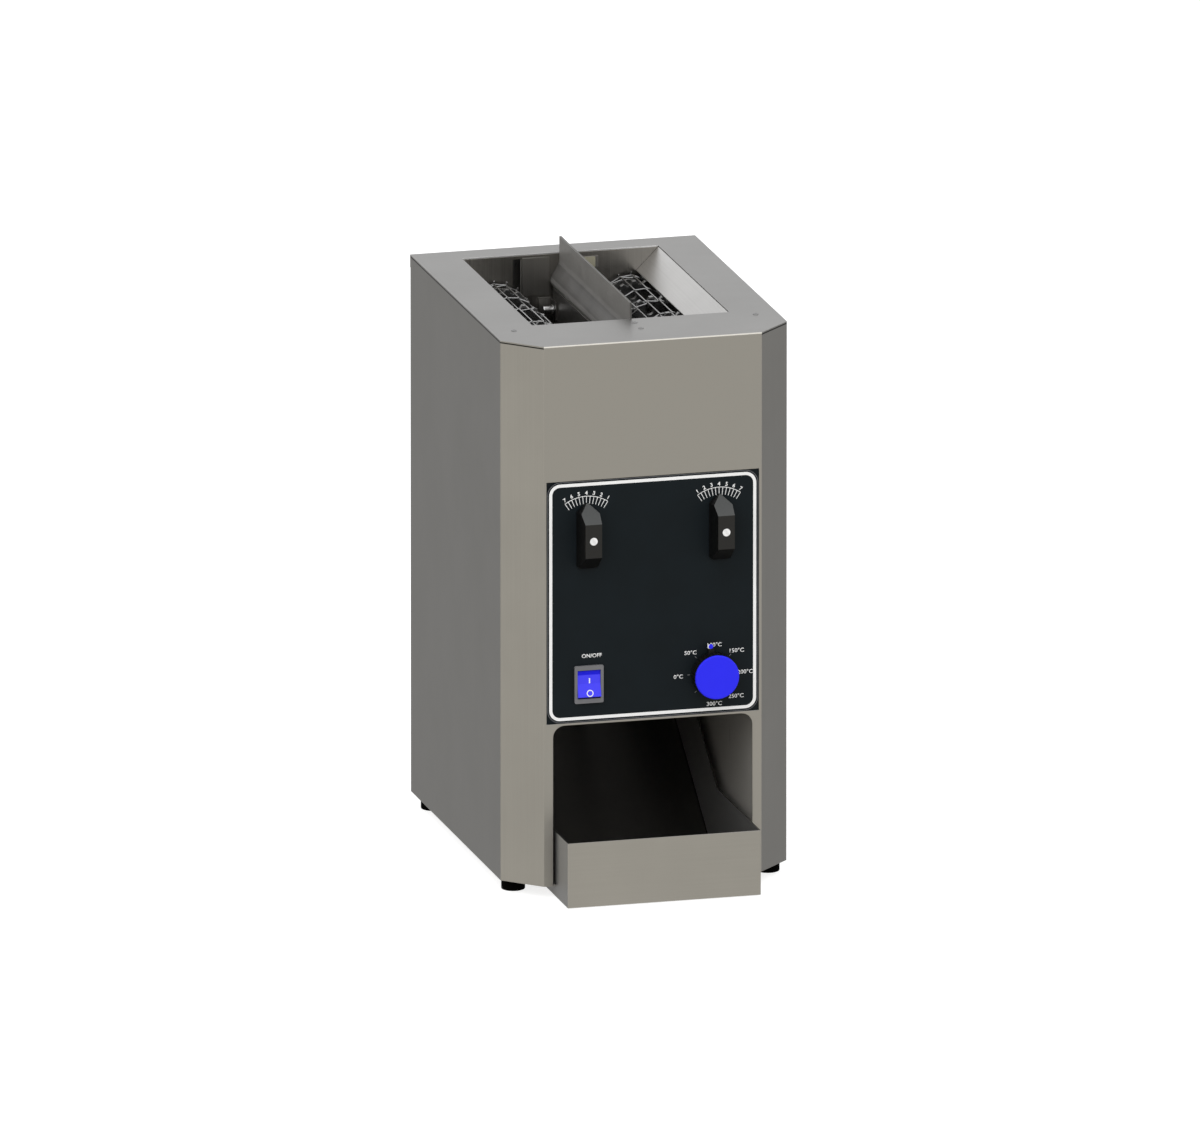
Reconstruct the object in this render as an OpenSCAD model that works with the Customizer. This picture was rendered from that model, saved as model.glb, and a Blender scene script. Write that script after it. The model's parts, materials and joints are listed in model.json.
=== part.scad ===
// Vertical bun toaster. Two wire belt conveyors press the bun halves against a
// heated platen in the middle. The halves drop in through the lid, and slide
// out at the front over a folded chute. The front faces -Y and the feet stand
// on z = 0.

/* [Casing] */
// Width of the casing
body_w = 250; // [240:1:300]
// Depth of the casing from the front panel to the rear panel
body_d = 326; // [300:1:400]
// Height of the casing without its feet
body_h = 471; // [462:1:540]
// Width of each bevelled front corner
corner_cut = 30; // [24:1:31]
// Thickness of the casing sheet
sheet = 1.2; // [0.8:0.1:1.6]
// Width of the folded flanges of the casing
flange_w = 12; // [8:0.5:13]
// Height of the skirt that the lid folds down at the rear
lid_skirt = 11; // [6:0.5:20]

/* [Feet] */
// Height of the rubber feet
foot_h = 10.5; // [9:0.5:20]
// Diameter of the rubber feet
foot_d = 20.3; // [16:0.1:26]
// Distance of the foot centres from the sides
foot_side = 13.7; // [13:0.1:20]
// Distance of the front foot centres from the front
foot_front = 40; // [34:0.5:60]
// Distance of the rear foot centres from the rear
foot_rear = 20.5; // [14:0.5:40]

/* [Hopper] */
// Width of the opening in the lid
hopper_w = 172; // [166:1:176]
// Distance of the lid opening from the front
hopper_front = 71.7; // [70:0.1:90]
// Distance of the lid opening from the rear
hopper_rear = 23.5; // [22:0.5:40]
// Thickness of the sloping guide plates
guide_t = 1; // [0.8:0.1:1.5]
// How far the guide plates reach in from the edge of the opening
guide_in = 19.5; // [14:0.5:20]

/* [Platen] */
// Thickness of the cast platen
platen_t = 15; // [14:0.5:20]
// Height of the cast platen
platen_h = 262; // [240:1:264]
// Height of the fin above the lid
fin_rise = 14; // [6:0.5:30]
// Thickness of the fin at its top
fin_t = 1.8; // [1.6:0.1:3]
// Thickness of the fin where it flares widest
fin_flare = 17.6; // [16:0.2:22]
// Depth below the lid where the fin is widest
fin_drop = 25; // [22:0.5:28]
// Diameter of the heating elements
element_d = 8; // [6:0.5:9]
// Height from one heating element to the next
element_step = 55; // [40:1:56]
// Diameter of the temperature sensor
sensor_d = 6; // [4:0.5:8]

/* [Conveyors] */
// Distance of the drive shafts from the middle
drive_x = 58.5; // [58:0.1:60]
// Depth of the drive shafts below the lid
drive_drop = 48.5; // [47:0.5:52]
// Pitch of the wire belt
belt_pitch = 10.2; // [9.8:0.1:10.2]
// Diameter of the belt wire
wire_d = 1.7; // [1.4:0.1:2.4]
// Width of the links that join the wires
link_w = 3; // [2:0.5:5]
// Number of pitches along each straight run
run_count = 21; // [18:1:21]
// Number of link columns across the belt
link_columns = 6; // [4:1:7]
// Diameter of the drive shafts
drive_d = 12; // [10:0.5:14]
// Diameter of the lower shafts
idler_d = 10; // [8:0.5:12]
// Thickness of the conveyor end plates
end_plate_t = 2; // [1.5:0.1:2.5]
// Width of the conveyor end plates
end_plate_w = 44; // [36:1:46]
// Thickness of the slider plate behind the inner run
slider_t = 1.5; // [1:0.1:2.5]

/* [Gears] */
// Tooth size of the gears, pitch diameter over teeth
gear_module = 1.5; // [1.49:0.005:1.53]
// Width of the gear faces
gear_face = 10; // [6:0.5:12]
// Play between meshing teeth
gear_backlash = 0.3; // [0.2:0.05:0.5]

/* [Compression knobs] */
// Distance of the compression knobs from the middle
knob_x = 57.85; // [57:0.05:60]
// Depth of the knob axes below the drive shafts
knob_drop = 117.4; // [112:0.1:125]
// Diameter of the knob shafts
knob_shaft_d = 8; // [6:0.5:9]
// Throw of the crank pin
crank_throw = 5; // [3:0.1:5.5]
// Diameter of the crank pin
crank_pin_d = 5; // [4:0.1:6]
// Length of the knob below its axis
knob_tail = 28.5; // [24:0.5:32]
// Length of the knob above its axis
knob_nose = 28; // [26:0.5:32]
// Width of the knob at its base
knob_w = 18; // [16:0.5:22]
// Width of the knob at its front face
knob_face_w = 14.4; // [12:0.2:16]
// How far the knob stands out
knob_out = 24; // [18:0.5:26]
// Half length of the knob's flat front face
knob_face = 14.6; // [10:0.2:16]

/* [Control plate] */
// Width of the control plate
plate_w = 185.4; // [176:0.1:186]
// Height of the control plate
plate_h = 211; // [200:1:214]
// Height of the plate's top edge above the knob axes
plate_over = 47.4; // [44:0.1:60]
// Corner radius of the control plate
plate_r = 11; // [4:0.5:16]
// Steel left between the control plate and the discharge opening
strip_h = 1.8; // [1.5:0.1:6]
// Distance of the thermostat from the middle
dial_x = 52.6; // [44:0.1:56]
// Height of the thermostat axis above the plate's lower edge
dial_up = 34.9; // [30:0.1:50]
// Diameter of the thermostat knob
dial_d = 38; // [32:0.5:42]
// How far the thermostat knob stands out
dial_out = 15; // [12:0.5:20]
// Angle of the knob's pointer from upright, anticlockwise
dial_rest = 7; // [0:1:30]
// Distance of the rocker switch from the middle
switch_x = 56; // [44:0.5:70]
// Height of the switch above the plate's lower edge
switch_up = 33.2; // [26:0.1:60]
// Width of the switch bezel
bezel_w = 25.1; // [25:0.1:28]
// Height of the switch bezel
bezel_h = 32.6; // [32:0.1:36]
// Width of the rocker
rocker_w = 19.9; // [18:0.1:20.2]
// Height of the rocker
rocker_h = 24.5; // [22:0.1:25]
// Angle that the rocker tilts through
rocker_tilt = 16; // [10:1:20]

/* [Chute] */
// Width of the chute
chute_w = 168.5; // [150:0.5:170]
// How far the tray stands out in front
tray_out = 37.7; // [20:0.1:60]
// Height of the chute's walls
tray_h = 56.4; // [40:0.1:60]
// Height of the chute's floor above the table
tray_up = 1; // [0.8:0.1:3]
// Distance from the front panel back to the bend of the floor
bend_back = 118; // [100:1:130]
// Slope of the ramp
ramp_angle = 35; // [25:1:35]
// Width of the discharge opening
outlet_w = 174; // [172:0.5:176]
// Radius of the discharge opening's upper corners
outlet_r = 10; // [4:0.5:20]

/* [Fits] */
// Radial play of a shaft that turns in its bore
run_play = 0.08; // [0.04:0.01:0.1]
// Radial play of a piece that is fixed on or in another
seat_play = 0.04; // [0.02:0.01:0.1]
// Play round pieces that slide or pass each other
slide_play = 0.35; // [0.2:0.05:0.5]

/* [Hidden] */
$fn = 48;

steel = [0.66, 0.65, 0.63];
bright = [0.78, 0.78, 0.77];
dark_steel = [0.42, 0.41, 0.39];
black = [0.12, 0.14, 0.15];
blue = [0.2, 0.2, 0.98];
brass = [0.72, 0.6, 0.35];

// Planes of the casing
screw_head_h = 1.8;
inlet_flange = 3;
half_w = body_w / 2;
front_y = (tray_out - body_d - inlet_flange) / 2;
rear_y = front_y + body_d;
bevel_y = front_y + corner_cut;
floor_z = foot_h;
top_z = foot_h + body_h;
inner_top = top_z - sheet;
panel_y = front_y + sheet;
lid_screw_x = half_w - 19.5;
lid_screw_y = [58.7, 39];
rear_rows = [40, 235, 430];
screw_r = 1.9;

// Power inlet
inlet_x = -70;
inlet_z = foot_h + 45;
inlet_w = 50;
inlet_h = 27;
inlet_body_w = 28;
inlet_body_h = 20;

// Room between the bulkhead and the rear wall
room_y0 = front_y + hopper_front;
room_y1 = rear_y - hopper_rear;
half_hopper = hopper_w / 2;

// Conveyor geometry: 16 belt pitches go round a full turn
turn_count = 16;
tooth_step = 360 / turn_count;
turn_r = belt_pitch / 2 / sin(180 / turn_count);
loop_count = turn_count + 2 * run_count;
belt_phase = 0.76;
drive_z = top_z - drive_drop;
lower_z = drive_z - run_count * belt_pitch;
wheel_r = turn_r - wire_d / 2 - 0.14;
tooth_r = turn_r + 2.1;
plate_gap = 3.3;
plate_y0 = room_y0 + plate_gap;
plate_y1 = room_y1 - plate_gap;
belt_margin = 2;
belt_y0 = plate_y0 + end_plate_t + belt_margin;
belt_y1 = plate_y1 - end_plate_t - belt_margin;
link_span = belt_y1 - belt_y0 - link_w - 8;
link_step = link_span / (link_columns - 1);
wheel_count = 4;
wheel_w = 8;
tie_d = 8;
tie_drops = [62, 152];
brush_r = 8;
brush_flange = 11;

// Compression crank
knob_z = drive_z - knob_drop;
crank_r = crank_throw + crank_pin_d / 2 + 1.5;
knob_bush_r = 6.5;
knob_bush_flange = 9;
cap_r = 3.35;
crank_y0 = room_y0 + 0.5;
crank_y1 = plate_y0 - 0.6;

// The lower end of a conveyor swings out this far at a knob's limit
knob_turn = 32;
swing = atan(crank_throw * sin(knob_turn) / (knob_drop - crank_throw * cos(knob_turn)));
reach_out = drive_x + turn_r + wire_d / 2 + run_count * belt_pitch * sin(swing);
side_gap = 3.4;
wall_play = 0.1;
wall_x = reach_out + side_gap;
wall_wing_y = front_y + 40;
// The walls start behind the plate's backing and clear of the bevelled corners
wall_y0 = max(panel_y + sheet,
              front_y + wall_x - half_w + corner_cut + sheet * (1 + sqrt(2)) + 0.2);
wall_slot_x = 37.9;
wall_slot_w = 7;

// Control plate and outlet
plate_z1 = knob_z + plate_over;
plate_z0 = plate_z1 - plate_h;
outlet_z = plate_z0 - strip_h;
shelf_y0 = wall_y0 + 0.2;
dial_z = plate_z0 + dial_up;
switch_z = plate_z0 + switch_up;
backing_x = half_w - corner_cut - 1;
cutout_w = 22.2;
cutout_h = 30.2;
rocker_axis = 2.2;

// Platen
half_platen = platen_t / 2;
fin_z0 = top_z - fin_drop - 4.5;
platen_z1 = fin_z0;
platen_z0 = platen_z1 - platen_h;
platen_y0 = room_y0 + 3.3;
platen_y1 = room_y1 - 3.3;
elements = [for (i = [0:3]) platen_z0 + 30 + i * element_step];
bolt_z = top_z - 46.5;
bolt_d = 6;
bolt_in = 9;
ear_t = 1.5;
sensor_z = platen_z0 + 57;
sensor_l = 85;

// Gears: 26 teeth, four in a row
gear_teeth = 26;
gear_r = gear_module * gear_teeth / 2;
gear_y0 = front_y + 52;
gear_y1 = gear_y0 + gear_face;
motor_x = -drive_x + 2 * gear_r;
idler_x = drive_x - 2 * gear_r;
axle_d = 8;

// Motor and gearbox
motor_shaft_d = 8;
motor_y0 = front_y + 6;
box_y0 = front_y + 26;
box_y1 = front_y + 48;
post_x = 22;
post_z = 27;
post_d = 8;
box_w = 60;
box_h = 2 * post_z + 10;
box_flange = front_y + 50;

// Chute outline
chute_x = chute_w / 2;
chute_front = front_y - tray_out;
chute_bend = front_y + bend_back;
chute_end = room_y1 - 6.5;
ramp_rise = (chute_end - chute_bend) * tan(ramp_angle);

// Y where the ramp's underside passes just over a level edge at height z
function ramp_seat(z) = chute_bend + (z + slide_play - tray_up) / tan(ramp_angle);

function arc(cx, cy, r, a0, a1, n = 8) =
    [for (i = [0:n]) let (a = a0 + (a1 - a0) * i / n) [cx + r * cos(a), cy + r * sin(a)]];

function round_rect(w, h, r, n = 8) = concat(
    arc(w / 2 - r, h / 2 - r, r, 0, 90, n), arc(r - w / 2, h / 2 - r, r, 90, 180, n),
    arc(r - w / 2, r - h / 2, r, 180, 270, n), arc(w / 2 - r, r - h / 2, r, 270, 360, n));

// Plan of the casing, drawn in by t from its outer faces
function casing_plan(t) =
    let (w = half_w - t, y = front_y + t, cut = corner_cut - t * (2 - sqrt(2)))
    [[-w, rear_y - t], [-w, y + cut], [cut - w, y], [w - cut, y], [w, y + cut], [w, rear_y - t]];

// A drawing in X and Z, extruded from y0 to y1
module along_y(y0, y1) {
    translate([0, y1, 0]) rotate([90, 0, 0]) linear_extrude(y1 - y0) children();
}

// A drawing in Y and Z, extruded from x0 to x1
module along_x(x0, x1) {
    translate([x0, 0, 0]) rotate([90, 0, 90]) linear_extrude(x1 - x0) children();
}

// A block given by its two corners
module block(a, b) {
    translate(a) cube(b - a);
}

// A round bar along Y
module bar_y(x, z, y0, y1, r) {
    translate([x, y0, z]) rotate([-90, 0, 0]) cylinder(h = y1 - y0, r = r);
}

// A round bar along X
module bar_x(y, z, x0, x1, r) {
    translate([x0, y, z]) rotate([0, 90, 0]) cylinder(h = x1 - x0, r = r);
}

module mirrored() {
    children();
    mirror([1, 0, 0]) children();
}

// Casing

module base_pan() {
    cut_x = chute_x + slide_play;
    // The edge of the cut carries the ramp
    cut_y = ramp_seat(floor_z + sheet);
    lip_h = 12;
    color(steel) difference() {
        union() {
            translate([0, 0, floor_z]) linear_extrude(sheet) difference() {
                polygon(casing_plan(sheet));
                polygon([[-cut_x, cut_y], [-cut_x, front_y], [cut_x, front_y], [cut_x, cut_y]]);
            }
            mirrored() {
                block([half_w - 2 * sheet, bevel_y + flange_w + 4, floor_z],
                      [half_w - sheet, rear_y - sheet - flange_w - 4, floor_z + lip_h]);
                block([cut_x, front_y + 20, floor_z], [cut_x + sheet, cut_y, floor_z + lip_h]);
            }
        }
        foot_places() cylinder(h = 3 * floor_z, r = 2.15);
    }
}

module foot_places() {
    for (x = [foot_side - half_w, half_w - foot_side])
        for (y = [front_y + foot_front, rear_y - foot_rear])
            translate([x, y, 0]) children();
}

module side_panel() {
    y0 = bevel_y + flange_w + 3;
    color(steel) difference() {
        union() {
            block([half_w - sheet, bevel_y, floor_z], [half_w, rear_y, inner_top]);
            block([half_w - sheet - flange_w, y0, inner_top - sheet],
                  [half_w - sheet, rear_y - sheet, inner_top]);
            block([half_w - sheet - flange_w, rear_y - 2 * sheet, floor_z + sheet + 14],
                  [half_w - sheet, rear_y - sheet, inner_top]);
        }
        rear_places() bar_y(0, 0, -9, 1, screw_r + 0.1);
        lid_screw_places() cylinder(h = 20, r = 1.75, center = true);
    }
}

module rear_places() {
    for (x = [-1, 1]) for (z = rear_rows)
        translate([x * (half_w - sheet - flange_w / 2), rear_y, floor_z + z]) children();
}

module rear_panel() {
    vent_w = 60;
    color(steel) difference() {
        block([sheet - half_w, rear_y - sheet, floor_z + sheet], [half_w - sheet, rear_y, inner_top]);
        rear_places() bar_y(0, 0, -4, 4, screw_r + 0.2);
        for (x = [-45, 45]) for (i = [0:7])
            translate([x, rear_y, top_z - 60 - 14 * i]) rotate([90, 0, 0])
                translate([0, 0, -4]) linear_extrude(8) polygon(round_rect(vent_w, 5, 2.45, 4));
        translate([inlet_x, rear_y, inlet_z])
            cube([inlet_body_w + 2 * slide_play, 8, inlet_body_h + 2 * slide_play], center = true);
    }
}

module rear_screws() {
    color(bright) rear_places() rotate([-90, 0, 0]) union() {
        translate([0, 0, -8]) cylinder(h = 8.5, r = screw_r);
        rotate_extrude() polygon([[0, 0], [3.6, 0], [3.4, 1], [2.4, screw_head_h], [0, screw_head_h]]);
    }
}

// The wrap of the front panel: front flat and both bevels
function wrap_plan() =
    let (r2 = sqrt(2), q = sheet * (r2 - 1), w = half_w, c = corner_cut)
    [[-w, bevel_y], [c - w, front_y], [w - c, front_y], [w, bevel_y], [w - sheet * r2, bevel_y],
     [w - c - q, panel_y], [c - w + q, panel_y], [sheet * r2 - w, bevel_y]];

module outlet_shape(w, z1, r) {
    polygon(concat([[w / 2, -1], [w / 2, z1 - r]], arc(w / 2 - r, z1 - r, r, 0, 90),
        arc(r - w / 2, z1 - r, r, 90, 180), [[-w / 2, z1 - r], [-w / 2, -1]]));
}

module front_panel() {
    tongue_w = 46;
    color(steel) difference() {
        union() {
            translate([0, 0, floor_z]) linear_extrude(inner_top - floor_z) polygon(wrap_plan());
            mirrored() block([half_w - 2 * sheet, bevel_y - sheet, floor_z + sheet],
                             [half_w - sheet, bevel_y + flange_w, inner_top]);
            block([-tongue_w / 2, front_y + sheet / 2, inner_top - sheet],
                  [tongue_w / 2, front_y + lid_screw_y[1] + 9, inner_top]);
        }
        along_y(front_y - 1, bevel_y) outlet_shape(outlet_w, outlet_z, outlet_r);
        block([-plate_w / 2, front_y - 1, plate_z0], [plate_w / 2, panel_y + 1, plate_z1]);
        lid_screw_places() cylinder(h = 20, r = 1.75, center = true);
    }
}

module lid_screw_places() {
    for (p = [[-lid_screw_x, lid_screw_y[0]], [lid_screw_x, lid_screw_y[0]],
              [0, lid_screw_y[0]], [0, lid_screw_y[1]]])
        translate([p[0], front_y + p[1], top_z]) children();
}

module top_lid() {
    color(steel) difference() {
        union() {
            translate([0, 0, inner_top]) linear_extrude(sheet) difference() {
                union() {
                    polygon(casing_plan(0));
                    translate([-half_w, rear_y - sheet]) square([body_w, 2 * sheet]);
                }
                polygon([[-half_hopper, room_y0], [half_hopper, room_y0],
                         [half_hopper, room_y1], [-half_hopper, room_y1]]);
            }
            block([-half_w, rear_y, top_z - lid_skirt], [half_w, rear_y + sheet, top_z]);
        }
        lid_screw_places() cylinder(h = 20, r = 2.1, center = true);
    }
}

module lid_screws() {
    color(dark_steel) lid_screw_places() union() {
        translate([0, 0, -7]) cylinder(h = 7.5, r = 1.6);
        rotate_extrude() polygon([[0, 0], [3.2, 0], [3, 0.9], [2, screw_head_h], [0, screw_head_h]]);
    }
}

module feet() {
    color(black) foot_places() difference() {
        cylinder(h = foot_h, r = foot_d / 2);
        translate([0, 0, -1]) cylinder(h = foot_h + 2, r = 2.3);
        translate([0, 0, -1]) cylinder(h = 6, r = 4.6);
    }
}

module foot_screws() {
    color(bright) foot_places() union() {
        translate([0, 0, 2.6]) cylinder(h = 2.4, r = 4.2);
        translate([0, 0, 4.5]) cylinder(h = foot_h + sheet + 0.5, r = 2);
        translate([0, 0, foot_h + sheet]) cylinder(h = 3.2, r = 4.04, $fn = 6);
    }
}

// Inner walls

module inner_wall() {
    wing_x = half_w - sheet - flange_w - 1.6;
    color(dark_steel) difference() {
        union() {
            block([wall_x, wall_y0, floor_z + sheet], [wall_x + sheet, room_y1 + sheet, inner_top]);
            block([wall_x, wall_wing_y, inner_top - sheet], [wing_x, room_y1, inner_top]);
        }
        foot_places() cylinder(h = floor_z + sheet + 5, r = 5);
        lid_screw_places() cylinder(h = 20, r = 1.75, center = true);
    }
}

module front_bulkhead() {
    x = wall_x - wall_play;
    color(dark_steel) difference() {
        union() {
            block([-x, room_y0 - sheet, outlet_z], [x, room_y0, inner_top]);
            block([-x, shelf_y0, outlet_z], [x, room_y0, outlet_z + sheet]);
            block([-x, box_flange, inner_top - sheet], [x, room_y0, inner_top]);
        }
        mirrored() {
            bar_y(drive_x, drive_z, room_y0 - 9, room_y0 + 9, brush_r + seat_play);
            bar_y(knob_x, knob_z, room_y0 - 9, room_y0 + 9, knob_bush_r + seat_play);
        }
        for (z = elements) bar_y(0, z, room_y0 - 9, room_y0 + 9, element_d / 2 + 0.5);
        bar_y(0, sensor_z, room_y0 - 9, room_y0 + 9, sensor_d / 2 + 0.5);
        bar_y(idler_x, drive_z, room_y0 - 9, room_y0 + 9, 3 + seat_play);
        lid_screw_places() cylinder(h = 20, r = 1.75, center = true);
    }
}

module hopper_rear_wall() {
    x = wall_x - wall_play;
    ledge_z = tray_up + ramp_rise - 3;
    color(dark_steel) difference() {
        union() {
            block([-x, room_y1, floor_z + sheet], [x, room_y1 + sheet, inner_top]);
            block([-chute_x, ramp_seat(ledge_z), ledge_z - sheet], [chute_x, room_y1 + sheet / 2, ledge_z]);
        }
        mirrored() bar_y(drive_x, drive_z, room_y1 - 9, room_y1 + 9, brush_r + seat_play);
        // One slot, on the left, for the wiring of the elements
        block([-wall_slot_x - wall_slot_w / 2, room_y1 - 1, drive_z + 12],
              [wall_slot_w / 2 - wall_slot_x, room_y1 + sheet + 1, inner_top - 3]);
    }
}

// Sloping plate that leads the buns in from the side of the lid opening
module hopper_guide() {
    x0 = half_hopper;
    x1 = x0 - guide_in;
    z1 = inner_top;
    z0 = z1 - guide_in;
    c = guide_t * tan(22.5);
    color(bright) along_y(room_y0 + 0.4, room_y1 - 0.4)
        polygon([[wall_x - wall_play, z1], [x0, z1], [x1, z0], [x1 + guide_t * sqrt(2), z0],
                 [x0 + c, z1 - guide_t], [wall_x - wall_play, z1 - guide_t]]);
}

// Controls

module control_plate() {
    color(black) difference() {
        translate([0, 0, (plate_z0 + plate_z1) / 2]) along_y(front_y + 0.3, panel_y)
            polygon(round_rect(plate_w - 2 * slide_play, plate_h - 2 * slide_play, plate_r));
        control_holes();
    }
}

module control_holes() {
    mirrored() bar_y(knob_x, knob_z, front_y - 5, front_y + 9, knob_shaft_d / 2 + 0.6);
    bar_y(dial_x, dial_z, front_y - 5, front_y + 9, 5 + seat_play);
    translate([-switch_x, front_y, switch_z]) cube([cutout_w, 12, cutout_h], center = true);
}

module control_backing() {
    color(dark_steel) difference() {
        block([-backing_x, panel_y, outlet_z], [backing_x, panel_y + sheet, plate_z1 + 8]);
        control_holes();
    }
}

module switch_housing() {
    w = rocker_w + 0.4;
    h = rocker_h + 0.4;
    body_wall = 0.75;
    color([0.55, 0.56, 0.56]) translate([-switch_x, front_y + 0.3, switch_z]) difference() {
        union() {
            along_y(-2.3, 0) polygon(round_rect(bezel_w, bezel_h, 1.2, 4));
            translate([0, 13, 0]) cube([w + 2 * body_wall, 26, h + 4.8], center = true);
            for (x = [-6, 6]) translate([x, 30, 0]) cube([0.8, 9, 6.3], center = true);
        }
        translate([0, 4, 0]) cube([w, 20, h], center = true);
        bar_x(rocker_axis, 0, -w, w, 1.2 + run_play);
    }
}

// The rocker, with its upper half pressed in
module rocker() {
    r = rocker_h / 2;
    end_y = -2.9;
    mid_y = -1.7;
    color(blue) translate([-switch_x, front_y + 0.3 + rocker_axis, switch_z])
        rotate([-rocker_tilt / 2, 0, 0]) union() {
            intersection() {
                bar_x(0, 0, -rocker_w / 2, rocker_w / 2, r);
                along_x(-rocker_w / 2, rocker_w / 2)
                    polygon([[end_y - rocker_axis, -r], [mid_y - rocker_axis, 0],
                             [end_y - rocker_axis, r], [5, r], [5, -r]]);
            }
            bar_x(0, 0, -rocker_w / 2 - 0.7, rocker_w / 2 + 0.7, 1.2);
        }
}

module thermostat_body() {
    y0 = panel_y + sheet;
    color(bright) difference() {
        union() {
            bar_y(dial_x, dial_z, y0 + 2, y0 + 26, 21);
            bar_y(dial_x, dial_z, front_y - 0.2, y0 + 26, 5);
            block([dial_x - 16, y0, dial_z - 6], [dial_x + 16, y0 + 2, dial_z + 6]);
            for (x = [dial_x - 9, dial_x + 9])
                block([x - 0.4, y0 + 26, dial_z - 3], [x + 0.4, y0 + 34, dial_z + 3]);
        }
        bar_y(dial_x, dial_z, front_y - 1, y0 + 12, 3 + run_play);
    }
}

// Ribbed skirt of the thermostat knob, with the pointer and its spindle
module thermostat_knob() {
    ribs = 30;
    r = dial_d / 2 + 0.4;
    lug = 26.5;
    color(black) translate([dial_x, front_y, dial_z]) rotate([0, -dial_rest, 0]) union() {
        along_y(2.4 - dial_out, -0.8)
            polygon([for (i = [0:ribs - 1]) for (s = [0, 1, 2, 3])
                let (a = (i + s / 4 + 0.1) * 360 / ribs, q = s < 2 ? r : r - 0.9)
                [q * cos(a), q * sin(a)]]);
        along_y(-4, -0.8) polygon([[-4, 0], [-2.6, 20], [-1, lug], [1, lug], [2.6, 20], [4, 0]]);
        bar_y(0, 0, -6, 10, 3);
    }
}

module thermostat_cap() {
    r = dial_d / 2;
    color(blue) translate([dial_x, front_y - dial_out, dial_z]) rotate([-90, 0, 0])
        rotate_extrude() polygon([[0, 0], [r - 0.8, 0], [r, 0.8], [r, 2.4], [0, 2.4]]);
}

// Bar knob with a pointed nose, at the left position
module knob() {
    back = 0.6;
    nose_h = 3.5;
    shoulder = knob_nose - 7.5;
    tip = 0.8;
    color([0.25, 0.25, 0.25]) translate([-knob_x, front_y, knob_z]) difference() {
        intersection() {
            along_x(-knob_w, knob_w)
                polygon([[-back, -knob_tail], [-4, -knob_tail], [-knob_out, -knob_face],
                         [-knob_out, knob_face], [-nose_h, knob_nose], [-back, knob_nose]]);
            along_y(-knob_out - 1, 0)
                polygon(concat([[knob_w / 2, shoulder], [tip, knob_nose], [-tip, knob_nose],
                                [-knob_w / 2, shoulder]],
                    arc(3 - knob_w / 2, 3 - knob_tail, 3, 180, 270),
                    arc(knob_w / 2 - 3, 3 - knob_tail, 3, 270, 360)));
            translate([0, 0, -40]) linear_extrude(80)
                polygon([[-knob_w / 2, 0], [knob_w / 2, 0],
                         [knob_face_w / 2, -knob_out], [-knob_face_w / 2, -knob_out]]);
        }
        bar_y(0, 0, -18, 1, knob_shaft_d / 2 + seat_play);
        bar_y(0, 0, -knob_out - 1, 1.5 - knob_out, cap_r + seat_play);
    }
}

module knob_cap() {
    color("white") bar_y(-knob_x, knob_z, front_y - knob_out - 0.4, front_y - knob_out + 1.5, cap_r);
}

// Shaft of a compression knob with its crank disc and pin
module knob_shaft() {
    color(bright) union() {
        bar_y(-knob_x, knob_z, front_y - 18, crank_y1, knob_shaft_d / 2);
        bar_y(-knob_x, knob_z, crank_y0, crank_y1, crank_r);
        bar_y(-knob_x, knob_z + crank_throw, crank_y0, plate_y0 + end_plate_t + 1.2, crank_pin_d / 2);
    }
}

module knob_bushes() {
    color(brass) mirrored() {
        flanged_bush(knob_x, knob_z, room_y0 - sheet, -1, knob_bush_r, knob_shaft_d / 2,
                     knob_bush_flange, sheet + 0.3);
        flanged_bush(knob_x, knob_z, panel_y + sheet, 1, knob_bush_r, knob_shaft_d / 2,
                     knob_bush_flange, 0);
    }
}

// A bush with its flange against the plane y, its barrel on the side dir and a spigot behind
module flanged_bush(x, z, y, dir, r, shaft_r, flange_r, spigot) {
    flange_t = 1.5;
    a = dir > 0 ? y : y - flange_t - 5;
    b = dir > 0 ? y + flange_t + 5 : y;
    difference() {
        union() {
            bar_y(x, z, a, b, r - 0.5);
            bar_y(x, z, dir > 0 ? y : y - flange_t, dir > 0 ? y + flange_t : y, flange_r);
            if (spigot > 0) bar_y(x, z, y, y + spigot, r);
        }
        bar_y(x, z, a - 1, b + spigot + 1, shaft_r + run_play);
    }
}

// Platen

function fin_outline(side) =
    let (z_wide = top_z - fin_drop, z_thin = top_z - 6, n = 10,
         a = fin_t / 2, b = fin_flare / 2)
    concat([for (i = [0:n]) let (u = i / n) [side * (a + (b - a) * (1 - cos(180 * u)) / 2),
                                             z_thin + (z_wide - z_thin) * u]],
           [[side * (b - 0.8), z_wide - 2.2], [side * (b - 2.3), fin_z0]]);

function reversed(list) = [for (i = [len(list) - 1:-1:0]) list[i]];

module platen_fin() {
    wall = 1;
    half = fin_flare / 2 - wall;
    z_tip = top_z + fin_rise;
    z_wide = top_z - fin_drop;
    color(bright) difference() {
        along_y(room_y0 + 0.5, room_y1 - 0.5)
            polygon(concat([[-fin_t / 2, z_tip]], fin_outline(-1), reversed(fin_outline(1)),
                           [[fin_t / 2, z_tip]]));
        along_y(room_y0 - 1, room_y1 + 1)
            polygon([[0, z_wide + 13], [0.3 - half, z_wide + 0.5], [2.2 - half, fin_z0 - 1],
                     [half - 2.2, fin_z0 - 1], [half - 0.3, z_wide + 0.5]]);
    }
}

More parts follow.
